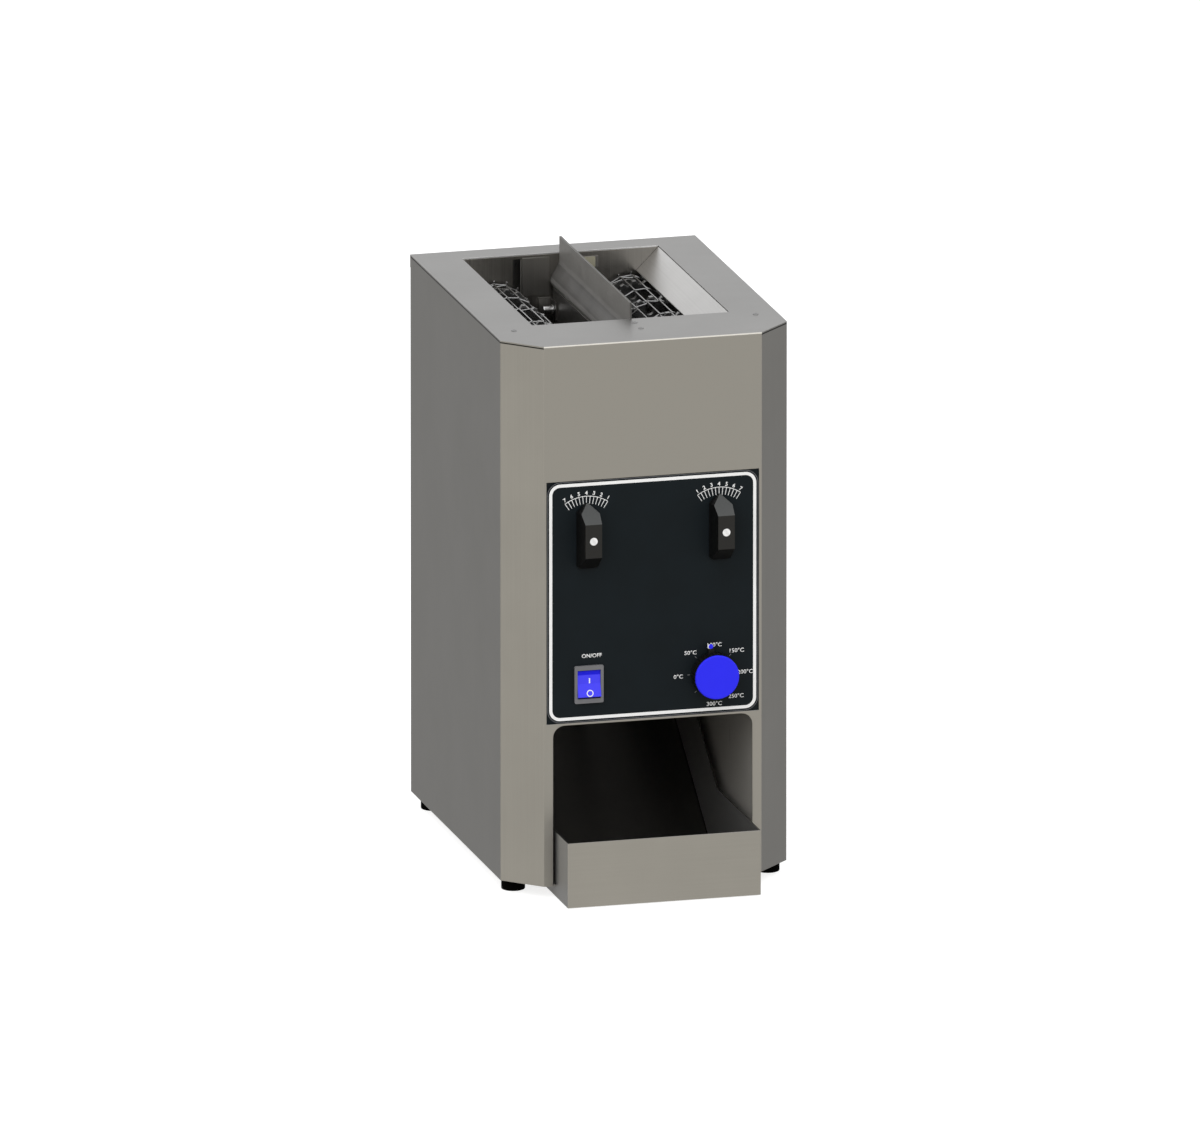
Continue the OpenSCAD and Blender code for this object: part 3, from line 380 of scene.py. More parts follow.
def place_group(tree, which, **inputs):
    return add(tree, "ShaderNodeGroup", {"node_tree": which}, **inputs)


def steel(name, tone, roughness, along=ALONG_Z, contrast=0.05, marks=0.15, edge=1.5):
    material, tree, shader, place = start_material(name)
    shader.inputs["Metallic"].default_value = 1.0
    grain = place_group(tree, GRAIN, Stretch=along, Tone=tone, Contrast=contrast,
                        Roughness=roughness)
    marked = place_group(tree, HANDLING, Amount=marks)
    # Worn edges get a brighter tone, which also serves as a painted highlight.
    bright = tuple(min(1.0, c * edge) for c in tone[:3]) + (1.0,)
    edges = place_group(tree, EDGES, Bright=bright)
    relief = add(tree, "ShaderNodeBump", Strength=0.25, Distance=0.02 * MM)
    join(tree, ((place, "Object"), (grain, "Vector")), ((place, "Object"), (marked, "Vector")),
         ((grain, "Colour"), (marked, "Tone")), ((grain, "Roughness"), (marked, "Roughness")),
         ((marked, "Colour"), (edges, "Tone")), ((edges, "Colour"), (shader, "Base Color")),
         ((marked, "Roughness"), (shader, "Roughness")), ((grain, "Height"), (relief, "Height")),
         ((edges, "Normal"), (relief, "Normal")), ((relief, 0), (shader, "Normal")))
    return material


# %% [markdown]
# ## Plastic, paint and rubber
# Knobs, print, feet and the woven pad share one function too. They aren't metal, so the
# specular level sets how glossy they look, and the skin group gives pores and soft clouds.

# %% Moulded materials


def moulded(name, tone, roughness, pore, vary, bump, specular):
    material, tree, shader, place = start_material(name)
    shader.inputs["Specular IOR Level"].default_value = specular
    skin = place_group(tree, SKIN, Pore=pore, Tone=tone, Roughness=roughness, Vary=vary)
    relief = add(tree, "ShaderNodeBump", Strength=0.3, Distance=bump * MM)
    join(tree, ((place, "Object"), (skin, "Vector")), ((skin, "Colour"), (shader, "Base Color")),
         ((skin, "Roughness"), (shader, "Roughness")), ((skin, "Height"), (relief, "Height")),
         ((relief, 0), (shader, "Normal")))
    return material


# %% [markdown]
# ## The stock of materials
# Each line is one material. After tone and roughness stand the direction of the grain, its
# contrast, the marks and the brightness of worn edges, partly a painted highlight, for steel,
# and pore size, variation, depth and gloss for the rest. Tones are linear, so they look
# lighter than they read.

# %% Stock
CASING = grey(0.36, 0.01)
stock = {
    "casing_upright": steel("casing_steel_upright", CASING, 0.42),
    "casing_level": steel("casing_steel_level", grey(0.335, 0.01), 0.42, ALONG_X),
    "casing_chute": steel("casing_steel_chute", CASING, 0.42, ALONG_X),
    "fastener": steel("fastener_steel", grey(0.3), 0.35, ALONG_X, 0.2, 0.3, 1.3),
    "inner": steel("inner_steel", grey(0.33, 0.05), 0.36, ALONG_Z, 0.2, 0.5),
    "guide": steel("guide_steel", grey(0.6, 0.01), 0.33, ALONG_Y, 0.1, 0.2),
    "bracket": steel("bracket_steel", grey(0.36, 0.04), 0.4, ALONG_Z, 0.1, 0.3, 1.05),
    # Painted shade: the fin's dark base tone stays on its upward-facing lower flare.
    "fin": steel("fin_steel", grey(0.125, 0.03), 0.56, (60, 60, 60), 0.35, 0.9),
    "bright": steel("bright_bolt", grey(0.85), 0.22, (300, 300, 300), 0.1, 0.2),
    "shaft": steel("shaft_steel", grey(0.55), 0.28, (400, 6, 400), 0.15, 0.2),
    "zinc": steel("zinc_steel", grey(0.45, 0.01), 0.4, ALONG_Z, 0.15, 0.4),
    "gear": steel("gear_steel", grey(0.3), 0.34, (300, 300, 300), 0.25, 0.4),
    "wire": steel("belt_wire_steel", grey(0.42), 0.3, (200, 200, 200), 0.2, 0.2, 1.0),
    "platen": steel("platen_cast", grey(0.3, 0.03), 0.5, (250, 250, 250), 0.3, 0.6, 1.05),
    "element": steel("element_alloy", grey(0.2, 0.08), 0.45, (200, 200, 200), 0.3, 0.6),
    "bronze": steel("bush_bronze", rgb(0.5, 0.34, 0.14), 0.35, (400, 6, 400), 0.2, 0.4),
    "plate": moulded("plate_black", rgb(0.0075, 0.0115, 0.0145), 0.55, 700, 0.15, 0.01, 0.1),
    "knob": moulded("knob_grey", grey(0.004), 0.45, 600, 0.2, 0.02, 0.25),
    "dial": moulded("dial_black", rgb(0.006, 0.006, 0.007), 0.5, 600, 0.2, 0.02, 0.3),
    "blue": moulded("dial_blue", rgb(0.03, 0.03, 1.0), 0.5, 500, 0.03, 0.005, 0.15),
    "rocker": moulded("rocker_blue", rgb(0.06, 0.055, 1.0), 0.35, 500, 0.04, 0.005, 0.3),
    "bezel": moulded("bezel_grey", rgb(0.18, 0.18, 0.19), 0.45, 600, 0.1, 0.01, 0.3),
    "white": moulded("print_white", grey(0.96), 0.5, 800, 0.04, 0.005, 0.2),
    "grey_print_and_highlight": moulded("grey_print_and_highlight", rgb(0.16, 0.16, 0.17), 0.5, 800, 0.04, 0.005, 0.2),
    "terminal": moulded("terminal_white", rgb(0.7, 0.68, 0.62), 0.5, 500, 0.1, 0.02, 0.4),
    "inlet": moulded("inlet_black", rgb(0.015, 0.015, 0.016), 0.4, 700, 0.2, 0.02, 0.4),
    "motor": moulded("motor_grey", rgb(0.05, 0.05, 0.055), 0.4, 500, 0.2, 0.03, 0.5),
    "crumbs": moulded("crumb_and_shade_line", rgb(0.004, 0.003, 0.002), 0.9, 300, 0.5, 0.05, 0.05),
    "rubber": moulded("foot_rubber", grey(0.0015), 0.9, 400, 0.3, 0.05, 0.02),
    "pad": moulded("pale_patch", rgb(0.42, 0.4, 0.3), 0.7, 350, 0.25, 0.05, 0.2),
}
print(len(stock), "materials")

# %% [markdown]
# ## Tones by place
# Some parts change tone with the way a facet looks, and most of these tones are painted light
# and shade: the knobs' fronts and noses are painted lighter, the chute's floor and ramp are
# painted dark, and left-facing inner faces are painted lighter and lose metal shine so that
# the lamp lights them. The fin and the brackets get painted shade on some facets, and the
# lid's front edge a painted highlight. Two bands of height give painted shadows, at the
# rocker's top and along the seam below the lid.

# %% Tones by place
FRONTWARD = (0, -1, 0)
LEFTWARD = (-1, 0, 0)
UPWARD = (0, 0, 1)
KNOB_NOSE = (0, -0.547, 0.837)
CHUTE_RAMP = (0, -0.3, 0.954)
ROCKER_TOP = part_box("rocker")[1].z
LID_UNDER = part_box("front_panel")[1].z
SEAM_SHADOW = 1.3 * MM


def dull_to_catch_lamp(material, way, metallic):
    """Facets that look one way lose metal shine, so that the lamp lights them: painted light."""
    tree = material.node_tree
    facet = place_group(tree, FACET, Way=way, Tone=WHITE, Facet=grey(metallic))
    tree.links.new(facet.outputs["Colour"], tree.nodes["Principled BSDF"].inputs["Metallic"])


def between(material, which, **inputs):
    """Puts a group between the shader's Base Color and what feeds it."""
    tree = material.node_tree
    shader = tree.nodes["Principled BSDF"]
    source = shader.inputs["Base Color"].links[0].from_socket
    node = place_group(tree, which, **inputs)
    tree.links.new(source, node.inputs["Tone"])
    if "Vector" in node.inputs:
        place = next(n for n in tree.nodes if n.type == "TEX_COORD")
        tree.links.new(place.outputs["Object"], node.inputs["Vector"])
    tree.links.new(node.outputs["Colour"], shader.inputs["Base Color"])


stock["fin"].node_tree.nodes["Principled BSDF"].inputs["Metallic"].default_value = 0.3
# Painted light: left-facing faces of the chute and inner walls lose metal shine, so that the key
# lamp brightens them.
dull_to_catch_lamp(stock["casing_chute"], LEFTWARD, 0.7)
dull_to_catch_lamp(stock["inner"], LEFTWARD, 0.1)
between(stock["rocker"], BAND, Band=rgb(0.0, 0.0, 0.72), Start=ROCKER_TOP - 4.4 * MM,
        Full=ROCKER_TOP - 3.6 * MM)
# Painted shadow: a dark band just below the lid, along its seam with the walls.
between(stock["casing_upright"], BAND, Band=grey(0.03), Start=LID_UNDER - SEAM_SHADOW,
        Full=LID_UNDER - 0.7 * SEAM_SHADOW)
FACETS = [
    # Painted light: the knobs' fronts and upper noses are painted lighter than their sides.
    ("knob", grey(0.0155), FRONTWARD),
    ("knob", rgb(0.075, 0.078, 0.078), KNOB_NOSE),
    # Painted shade: the chute's floor and ramp are painted dark, as if in the casing's shadow.
    ("casing_chute", grey(0.16, 0.04), CHUTE_RAMP),
    # Painted light: the inner walls' left-facing faces are painted lighter.
    ("inner", grey(0.46, 0.04), LEFTWARD),
    # Painted shade: the fin's upright faces get a lighter tone, and its lower flare, which faces the
    # sky, keeps the darker base tone.
    ("fin", grey(0.222, 0.03), (-0.958, 0, -0.287)),
    ("fin", grey(0.222, 0.03), (0.958, 0, -0.287)),
    # Painted shade: the brackets' left-facing and upward faces, deep in the hopper, are painted
    # dark.
    ("bracket", grey(0.16, 0.04), LEFTWARD),
    ("bracket", grey(0.16, 0.04), UPWARD),
    ("casing_upright", grey(0.342, 0.01), FRONTWARD),
    # Painted highlight: the lid's front edge is painted nearly white.
    ("casing_level", grey(0.95), FRONTWARD),
]
for name, tone, way in FACETS:
    between(stock[name], FACET, Facet=tone, Way=way)
print("lid seam at z =", round(LID_UNDER, 4))

# %% [markdown]
# ## Finishes on the construction parts
# The parts keep their meshes. Each one only gets its material, which replaces the plain
# colour that it came with.

# %% Give each part its material
FINISH = {
    "casing_upright": ["base_pan", "left_side_panel", "right_side_panel", "rear_panel",
                       "front_panel"],
    "casing_level": ["top_lid"],
    "casing_chute": ["chute"],
    "fastener": ["lid_screws", "rear_screws", "foot_screws", "platen_bolts"],
    "rubber": ["feet"],
    "inner": ["left_inner_wall", "right_inner_wall", "front_bulkhead", "hopper_rear_wall"],
    "guide": ["left_hopper_guide", "right_hopper_guide"],
    "bracket": ["platen_brackets"],
    "fin": ["platen_fin"],
    "zinc": ["thermostat_body", "left_end_plates", "right_end_plates", "left_slider_plate",
             "right_slider_plate"],
    "plate": ["control_plate", "control_backing"],
    "platen": ["platen"],
    "element": ["heating_elements"],
    "bronze": ["drive_bushes", "knob_bushes", "sensor_bulb", "capillary_tube"],
    "motor": ["gearmotor"],
    "shaft": ["motor_standoffs", "idler_axle", "left_drive_shaft", "right_drive_shaft",
              "left_knob_shaft", "right_knob_shaft"],
    "bezel": ["switch_housing"],
    "terminal": ["terminal_block"],
    "inlet": ["power_inlet"],
    "gear": ["left_sprockets", "right_sprockets", "left_drive_gear", "right_drive_gear",
             "motor_gear", "idler_gear", "left_lower_roller", "right_lower_roller"],
    "wire": ["left_belt", "right_belt"],
    "knob": ["left_knob", "right_knob"],
    "white": ["left_knob_cap", "right_knob_cap"],
    "dial": ["thermostat_knob"],
    "blue": ["thermostat_cap"],
    "rocker": ["rocker"],
}
for finish, names in FINISH.items():
    for name in names:
        mesh = nodes[name].data
        mesh.materials.clear()
        mesh.materials.append(stock[finish])
bare = sorted(set(nodes) - {n for names in FINISH.values() for n in names})
print("parts without a finish:", bare)

# %% [markdown]
# ## Studio dome
# The dome is white above, and below the horizon it is brighter in front than behind, like a
# studio with one large soft window. Camera and transmission rays see its plain white
# everywhere, and glossy rays see that white above the horizon. Lower down steel mirrors
# the studio's walls: plain white there would give every side the same tone.

# %% World
SKY = rgb(1.0, 1.0, 1.0)
SHADE = rgb(0.32, 0.323, 0.328)
WARM = rgb(0.88, 0.83, 0.715)
WINDOW_WAY = (-0.4, -0.917, 0.0)
SMOOTH = {"interpolation_type": "SMOOTHSTEP"}
world = bpy.data.worlds.new("studio")
bpy.context.scene.world = world
world.use_nodes = True
wt = world.node_tree
wt.nodes.clear()
sky_place = add(wt, "ShaderNodeTexCoord")
ahead = vector_maths(wt, "DOT_PRODUCT", {1: WINDOW_WAY})
ahead_ramp = add(wt, "ShaderNodeMapRange", SMOOTH, From_Min=-0.95, From_Max=0.6)
low_mix = add(wt, "ShaderNodeMix", RGBA, {MIX_A: SHADE, MIX_B: WARM})
split = add(wt, "ShaderNodeSeparateXYZ")
up_ramp = add(wt, "ShaderNodeMapRange", SMOOTH, From_Min=-0.05, From_Max=0.35)
up_mix = add(wt, "ShaderNodeMix", RGBA, {MIX_B: SKY})
dome = add(wt, "ShaderNodeBackground", Strength=1.0)
plain = add(wt, "ShaderNodeBackground", Color=WHITE, Strength=1.0)
path = add(wt, "ShaderNodeLightPath")
upper = maths(wt, "MULTIPLY")
direct = maths(wt, "MAXIMUM")
showing = maths(wt, "MAXIMUM")
pick = add(wt, "ShaderNodeMixShader")
world_out = add(wt, "ShaderNodeOutputWorld")
join(wt, ((sky_place, "Generated"), (ahead, 0)), ((ahead, "Value"), (ahead_ramp, "Value")),
     ((ahead_ramp, 0), (low_mix, 0)), ((sky_place, "Generated"), (split, 0)),
     ((split, "Z"), (up_ramp, "Value")), ((up_ramp, 0), (up_mix, 0)),
     ((low_mix, MIX_OUT), (up_mix, MIX_A)), ((up_mix, MIX_OUT), (dome, "Color")),
     ((path, "Is Camera Ray"), (direct, 0)), ((path, "Is Transmission Ray"), (direct, 1)),
     ((path, "Is Glossy Ray"), (upper, 0)), ((up_ramp, 0), (upper, 1)),
     ((direct, 0), (showing, 0)), ((upper, 0), (showing, 1)), ((showing, 0), (pick, 0)),
     ((dome, 0), (pick, 1)), ((plain, 0), (pick, 2)), ((pick, 0), (world_out, "Surface")))
print(len(wt.nodes), "nodes in the world")

# %% [markdown]
# ## Floor
# A grey floor that also glows looks white to the camera and still shows the soft shadow
# under the feet. Diffuse rays see only the grey, so it throws little light back up, and
# glossy rays pass through it to the dome.

# %% Floor
FLOOR_SIZE = 40.0
bm = bmesh.new()
bmesh.ops.create_grid(bm, x_segments=2, y_segments=2, size=FLOOR_SIZE / 2)
mesh = bpy.data.meshes.new("floor")
bm.to_mesh(mesh)
bm.free()
floor = show("floor", mesh)
pale = bpy.data.materials.new("pale_floor")
pale.use_nodes = True
ft = pale.node_tree
ft.nodes.clear()
matt = add(ft, "ShaderNodeBsdfDiffuse", Color=grey(0.45))
glow = add(ft, "ShaderNodeEmission", Color=WHITE, Strength=0.78)
both = add(ft, "ShaderNodeAddShader")
clear = add(ft, "ShaderNodeBsdfTransparent")
ray = add(ft, "ShaderNodeLightPath")
open_view = maths(ft, "MAXIMUM")
seen = add(ft, "ShaderNodeMixShader")
mirrored = add(ft, "ShaderNodeMixShader")
floor_out = add(ft, "ShaderNodeOutputMaterial")
join(ft, ((matt, 0), (both, 0)), ((glow, 0), (both, 1)), ((ray, "Is Camera Ray"), (open_view, 0)),
     ((ray, "Is Transmission Ray"), (open_view, 1)), ((open_view, 0), (seen, 0)),
     ((matt, 0), (seen, 1)), ((both, 0), (seen, 2)), ((ray, "Is Glossy Ray"), (mirrored, 0)),
     ((seen, 0), (mirrored, 1)), ((clear, 0), (mirrored, 2)),
     ((mirrored, 0), (floor_out, "Surface")))
mesh.materials.append(pale)
floor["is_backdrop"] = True
print("floor", FLOOR_SIZE, "m wide")

# %% [markdown]
# ## Key lamp
# One wide disk at the upper left adds a little shape to the dome's light. The steel doesn't
# mirror it, because a disk's outline in brushed sheet would look like a stain.

# %% Key lamp
KEY_FROM = Vector((-1.6, -2.6, 3.2))
KEY_AT = Vector((0, 0, 0.25))
key = bpy.data.lights.new("key", "AREA")
key.shape = "DISK"
key.size = 4.4
key.energy = 60
lamp = show("key", key)
lamp.location = KEY_FROM
lamp.visible_glossy = False
lamp.rotation_euler = (KEY_AT - KEY_FROM).to_track_quat("-Z", "Y").to_euler()
bpy.context.scene.view_settings.view_transform = "Standard"
print("key lamp", key.size, "m wide,", key.energy, "W")

# %% [markdown]
# ## Rounded edges
# No moulded part has a knife edge. The construction mesh is loose triangles, so a Weld
# modifier joins them first, and a Bevel modifier rounds only the edges that turn by more
# than the limit. The knobs and feet get it, because their edges are close to the eye.

# %% Round the visible edges
EDGE_LIMIT = math.radians(25)
TOUCHING = 0.005 * MM
for name, width in {"left_knob": 0.4, "right_knob": 0.4, "feet": 0.9}.items():
    weld = nodes[name].modifiers.new("weld", "WELD")
    weld.merge_threshold = TOUCHING
    bevel = nodes[name].modifiers.new("round", "BEVEL")
    bevel.width = width * MM
    bevel.segments = 2
    bevel.limit_method = "ANGLE"
    bevel.angle_limit = EDGE_LIMIT
    bevel.harden_normals = True
    print(name, "rounded by", width, "mm")

# %% [markdown]
# ## Making a piece
# A new piece is a bmesh that becomes an object, gets its finish and rides on a body. Its
# place is in its mesh, and its object stays at the origin.
# More helpers turn and move vertices, soften edges, and add a finished part to a bmesh.

# %% Piece helpers
SAME = 0.001 * MM


def piece(name, bm, material, body, replaces=()):
    """Turns a bmesh, given in metres in the row frame, into a finished piece."""
    bmesh.ops.recalc_face_normals(bm, faces=bm.faces)
    mesh = bpy.data.meshes.new(name)
    bm.to_mesh(mesh)
    bm.free()
    mesh.materials.append(material)
    made = show(name, mesh)
    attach(made, body)
    if replaces:
        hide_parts(*replaces)
    print(f"{name}: {len(mesh.polygons)} faces on {body}")
    return made


def rotate(bm, verts, angle, axis="Y"):
    """Turns vertices about an axis through the origin, by an angle in radians."""
    bmesh.ops.rotate(bm, verts=verts, cent=(0, 0, 0), matrix=Matrix.Rotation(angle, 3, axis))


def move(bm, *vec):
    """Moves a whole bmesh."""
    bmesh.ops.translate(bm, verts=bm.verts, vec=vec)


def soften(bm, edges, offset):
    """Rounds a few edges."""
    bmesh.ops.bevel(bm, geom=edges, offset=offset, segments=2, profile=0.5, affect="EDGES",
                    material=-1)


def absorb(bm, part):
    """Adds a finished part to a bmesh, and frees the part."""
    scratch = bpy.data.meshes.new("part")
    part.to_mesh(scratch)
    part.free()
    bm.from_mesh(scratch)
    bpy.data.meshes.remove(scratch)


# %% [markdown]
# ## Print
# Screen print is a film of paint. It could be a mask in the panel's material, but real
# shapes stay sharp at any size. Each figure is drawn flat, facing the front, and then
# thickened a little, so that it is a closed film on the plate.

# %% Lines, arcs and ticks
PRINT = 0.08 * MM


def extruded(operator, bm, vec, **parts):
    """Extrudes edges or faces, and moves what is new."""
    new = operator(bm, **parts)["geom"]
    verts = [v for v in new if isinstance(v, bmesh.types.BMVert)]
    bmesh.ops.translate(bm, verts=verts, vec=vec)


def thicken(bm):
    """Raises flat faces, which lie in y = 0, into a film towards the front."""
    extruded(bmesh.ops.extrude_face_region, bm, (0, -PRINT, 0), geom=bm.faces[:])


def add_quad(bm, x0, x1, z0, z1):
    """A flat rectangle in X and Z."""
    corners = ((x0, z0), (x1, z0), (x1, z1), (x0, z1))
    return bm.faces.new([bm.verts.new((x, 0, z)) for x, z in corners])


def round_corners(bm, face, radius, segments):
    bmesh.ops.bevel(bm, geom=list(face.verts), offset=radius, offset_type="OFFSET",
                    affect="VERTICES", segments=segments, profile=0.5, material=-1)


def add_rounded_ring(bm, width, height, radius, line):
    """A line of even width that follows a rectangle with round corners."""
    face = add_quad(bm, -width / 2, width / 2, -height / 2, height / 2)
    round_corners(bm, face, radius, 10)
    face = max(bm.faces, key=lambda f: f.calc_area())
    bmesh.ops.inset_region(bm, faces=[face], thickness=line, use_boundary=True,
                           use_even_offset=True)
    bmesh.ops.delete(bm, geom=[face], context="FACES_ONLY")


def add_arc(bm, radius, line, start, end, steps=24):
    """A band round the origin, with its angles clockwise from upright in degrees."""
    edge = bm.edges.new([bm.verts.new((0, 0, radius)), bm.verts.new((0, 0, radius + line))])
    rotate(bm, edge.verts, math.radians(start))
    bmesh.ops.spin(bm, geom=[*edge.verts, edge], cent=(0, 0, 0), axis=(0, 1, 0), dvec=(0, 0, 0),
                   angle=math.radians(end - start), steps=steps, use_duplicate=False)


def add_tick(bm, r0, r1, line, angle):
    """A short radial line."""
    face = add_quad(bm, -line / 2, line / 2, r0, r1)
    rotate(bm, face.verts, math.radians(angle))


# %% [markdown]
# ## Lettering
# A text object gives the letters. Its size is set from the height of a capital, which is
# measured once, and a small offset makes the strokes bolder. Text becomes a mesh before it
# is placed, so that the piece keeps its object at the origin.

# %% Lettering


def mesh_of(curve):
    """Turns a text or a curve into a plain mesh."""
    holder = show("drawn", curve)
    bpy.context.view_layer.update()
    graph = bpy.context.evaluated_depsgraph_get()
    drawn = bpy.data.meshes.new_from_object(holder.evaluated_get(graph))
    bpy.data.objects.remove(holder)
    return drawn


def cap_height():
    """Height of a capital letter of the built-in font at size 1."""
    curve = bpy.data.curves.new("measure", "FONT")
    curve.body = "E"
    probe = show("measure", curve)
    bpy.context.view_layer.update()
    height = probe.dimensions.y
    bpy.data.objects.remove(probe)
    return height


CAP = cap_height()


def add_words(bm, words, height, x, z, weight, stretch=1.0, turn=0.0):
    """Lettering centred on x and z, turned by so many degrees."""
    curve = bpy.data.curves.new("words", "FONT")
    curve.body = words
    curve.size = height / CAP
    curve.offset = weight * curve.size
    curve.align_x = "CENTER"
    curve.resolution_u = 4
    drawn = mesh_of(curve)
    place = (Matrix.Translation((x, 0, z)) @ Matrix.Rotation(math.radians(turn), 4, "Y")
             @ Matrix.Diagonal((stretch, 1, 1, 1)) @ Matrix.Translation((0, 0, -height / 2))
             @ Matrix.Rotation(math.pi / 2, 4, "X"))
    drawn.transform(place)
    bm.from_mesh(drawn)
    bpy.data.meshes.remove(drawn)


def printed(name, bm, at, material):
    """Thickens flat print and lays it on the plate at a point of its plane."""
    bmesh.ops.remove_doubles(bm, verts=bm.verts, dist=SAME)
    bmesh.ops.recalc_face_normals(bm, faces=bm.faces)
    thicken(bm)
    move(bm, *at)
    return piece(name, bm, material, "casing")


print("a capital is", round(CAP, 3), "high at size 1")

# %% [markdown]
# ## Border line
# A white line with round corners runs inside the edge of the black plate, and a fine grey
# one is a painted highlight on the cut rim, where light catches the sheet's chamfer.

# %% Border line
BORDER_IN = 2.0 * MM
BORDER_LINE = 2.7 * MM
BORDER_R = 9.5 * MM
RIM_IN = 0.3 * MM
RIM_LINE = 0.4 * MM
plate_size = PLATE_HIGH - PLATE_LOW
plate_centre = (PLATE_LOW + PLATE_HIGH) / 2
for name, inside, radius, line, finish, slot in (
        ("plate_border", BORDER_IN, BORDER_R, BORDER_LINE, "white", "cap_white"),
        ("plate_rim", RIM_IN, BORDER_R + BORDER_IN, RIM_LINE, "grey_print_and_highlight", "plate_black")):
    bm = bmesh.new()
    add_rounded_ring(bm, plate_size.x - 2 * inside, plate_size.z - 2 * inside, radius, line)
    printed(name, bm, (plate_centre.x, PLATE_Y, plate_centre.z), stock[finish])

# %% [markdown]
# ## Compression scales
# Above each knob stands an arc with 13 ticks and the digits 1 to 7. The two scales mirror
# each other, so that low numbers are on the inner side of both.

# %% Compression scales
SCALE_R = 33.2 * MM
SCALE_END = 34
TICKS = 13
TICK_IN = 6.3 * MM
DIGIT_R = 36.3 * MM
DIGIT_END = 31.5
DIGIT_H = 3.2 * MM
DIGIT_WEIGHT = 0.026
FINE_LINE = 0.5 * MM
for side, digits in (("left", "7654321"), ("right", "1234567")):
    centre = axis_of(f"{side}_knob_turn")
    bm = bmesh.new()
    add_arc(bm, SCALE_R, FINE_LINE, -SCALE_END, SCALE_END)
    for i in range(TICKS):
        angle = -SCALE_END + 2 * SCALE_END * i / (TICKS - 1)
        add_tick(bm, SCALE_R - TICK_IN, SCALE_R, FINE_LINE, angle)
    for i, digit in enumerate(digits):
        angle = -DIGIT_END + 2 * DIGIT_END * i / (len(digits) - 1)
        turn = math.radians(angle)
        add_words(bm, digit, DIGIT_H, DIGIT_R * math.sin(turn), DIGIT_R * math.cos(turn),
                  DIGIT_WEIGHT, 1.0, angle)
    printed(f"{side}_compression_scale", bm, (centre.x, PLATE_Y, centre.z), stock["white"])

# %% [markdown]
# ## Temperature scale
# The thermostat has a label every 45 degrees, from 0 at nine o'clock round to 300 at six
# o'clock, and short ticks close to the knob. The labels stand upright beside their ticks,
# so each has its own place.

# %% Temperature scale
LABELS = {"0": (-30.2, -1.0), "50": (-19.6, 19.2), "100": (1.1, 24.8), "150": (20.4, 18.7),
          "200": (28.2, -0.4), "250": (20.2, -21.0), "300": (1.2, -26.5)}
LABEL_H = 3.3 * MM
LABEL_WEIGHT = 0.012
LABEL_STRETCH = 1.08
DIAL_TICK = (20.2 * MM, 22.4 * MM, 0.6 * MM)
dial = axis_of("thermostat_turn")
bm = bmesh.new()
for number, (x, z) in LABELS.items():
    add_words(bm, number + "°C", LABEL_H, x * MM, z * MM, LABEL_WEIGHT, LABEL_STRETCH)
printed("thermostat_labels", bm, (dial.x, PLATE_Y, dial.z), stock["white"])
bm = bmesh.new()
for angle in range(-135, 181, 45):
    add_tick(bm, *DIAL_TICK, angle)
printed("thermostat_ticks", bm, (dial.x, PLATE_Y, dial.z), stock["grey_print_and_highlight"])

# %% [markdown]
# ## Switch words
# ON/OFF stands over the switch, a little right of its middle.

# %% Switch words
WORDS_RIGHT = 2.8 * MM
WORDS_Z = 209.7 * MM
WORDS_H = 3.2 * MM
rocker_axis = axis_of("rocker_press")
bm = bmesh.new()
add_words(bm, "ON/OFF", WORDS_H, 0, 0, 0.018, 1.03)
printed("switch_words", bm, (rocker_axis.x + WORDS_RIGHT, PLATE_Y, WORDS_Z), stock["white"])

# %% [markdown]
# ## Rocker marks
# The rocker carries a bar and a ring. Its two faces slope a little, so each mark is drawn
# flat and then turned to its face, whose normal comes from the construction mesh.

# %% Rocker marks
BAR_Z = 188.4 * MM
BAR_HALF_W = 0.55 * MM
BAR_HALF_H = 2.2 * MM
RING_Z = 177.8 * MM
RING_R = 2.15 * MM
RING_LINE = 0.8 * MM
MARK_X = rocker_axis.x + 0.4 * MM


def front_face_at(name, z):
    """How far forward a part's front is at height z, and the normal there."""
    mesh = nodes[name].data

    def faces_front(face):
        heights = [mesh.vertices[i].co.z for i in face.vertices]
        return face.normal.y < -0.9 and min(heights) <= z <= max(heights)

    best = min(filter(faces_front, mesh.polygons), key=lambda face: face.center.y)
    y = best.center.y - best.normal.z * (z - best.center.z) / best.normal.y
    return y, Vector(best.normal)


for name, z in (("rocker_bar", BAR_Z), ("rocker_ring", RING_Z)):
    bm = bmesh.new()
    if name == "rocker_bar":
        add_quad(bm, -BAR_HALF_W, BAR_HALF_W, -BAR_HALF_H, BAR_HALF_H)
    else:
        add_arc(bm, RING_R, RING_LINE, 0, 360, 32)
        bmesh.ops.remove_doubles(bm, verts=bm.verts, dist=0.01 * MM)
    bmesh.ops.recalc_face_normals(bm, faces=bm.faces)
    thicken(bm)
    y, normal = front_face_at("rocker", z)
    rotate(bm, bm.verts, math.atan2(-normal.z, -normal.y), "X")
    move(bm, MARK_X, y, z)
    piece(name, bm, stock["white"], "switch_rocker")

# %% [markdown]
# ## Pointer nib
# The thermostat's pointer ends in a small blue button with a white rim on one side. The
# rim is a second, lower disc that peeps out to the left.

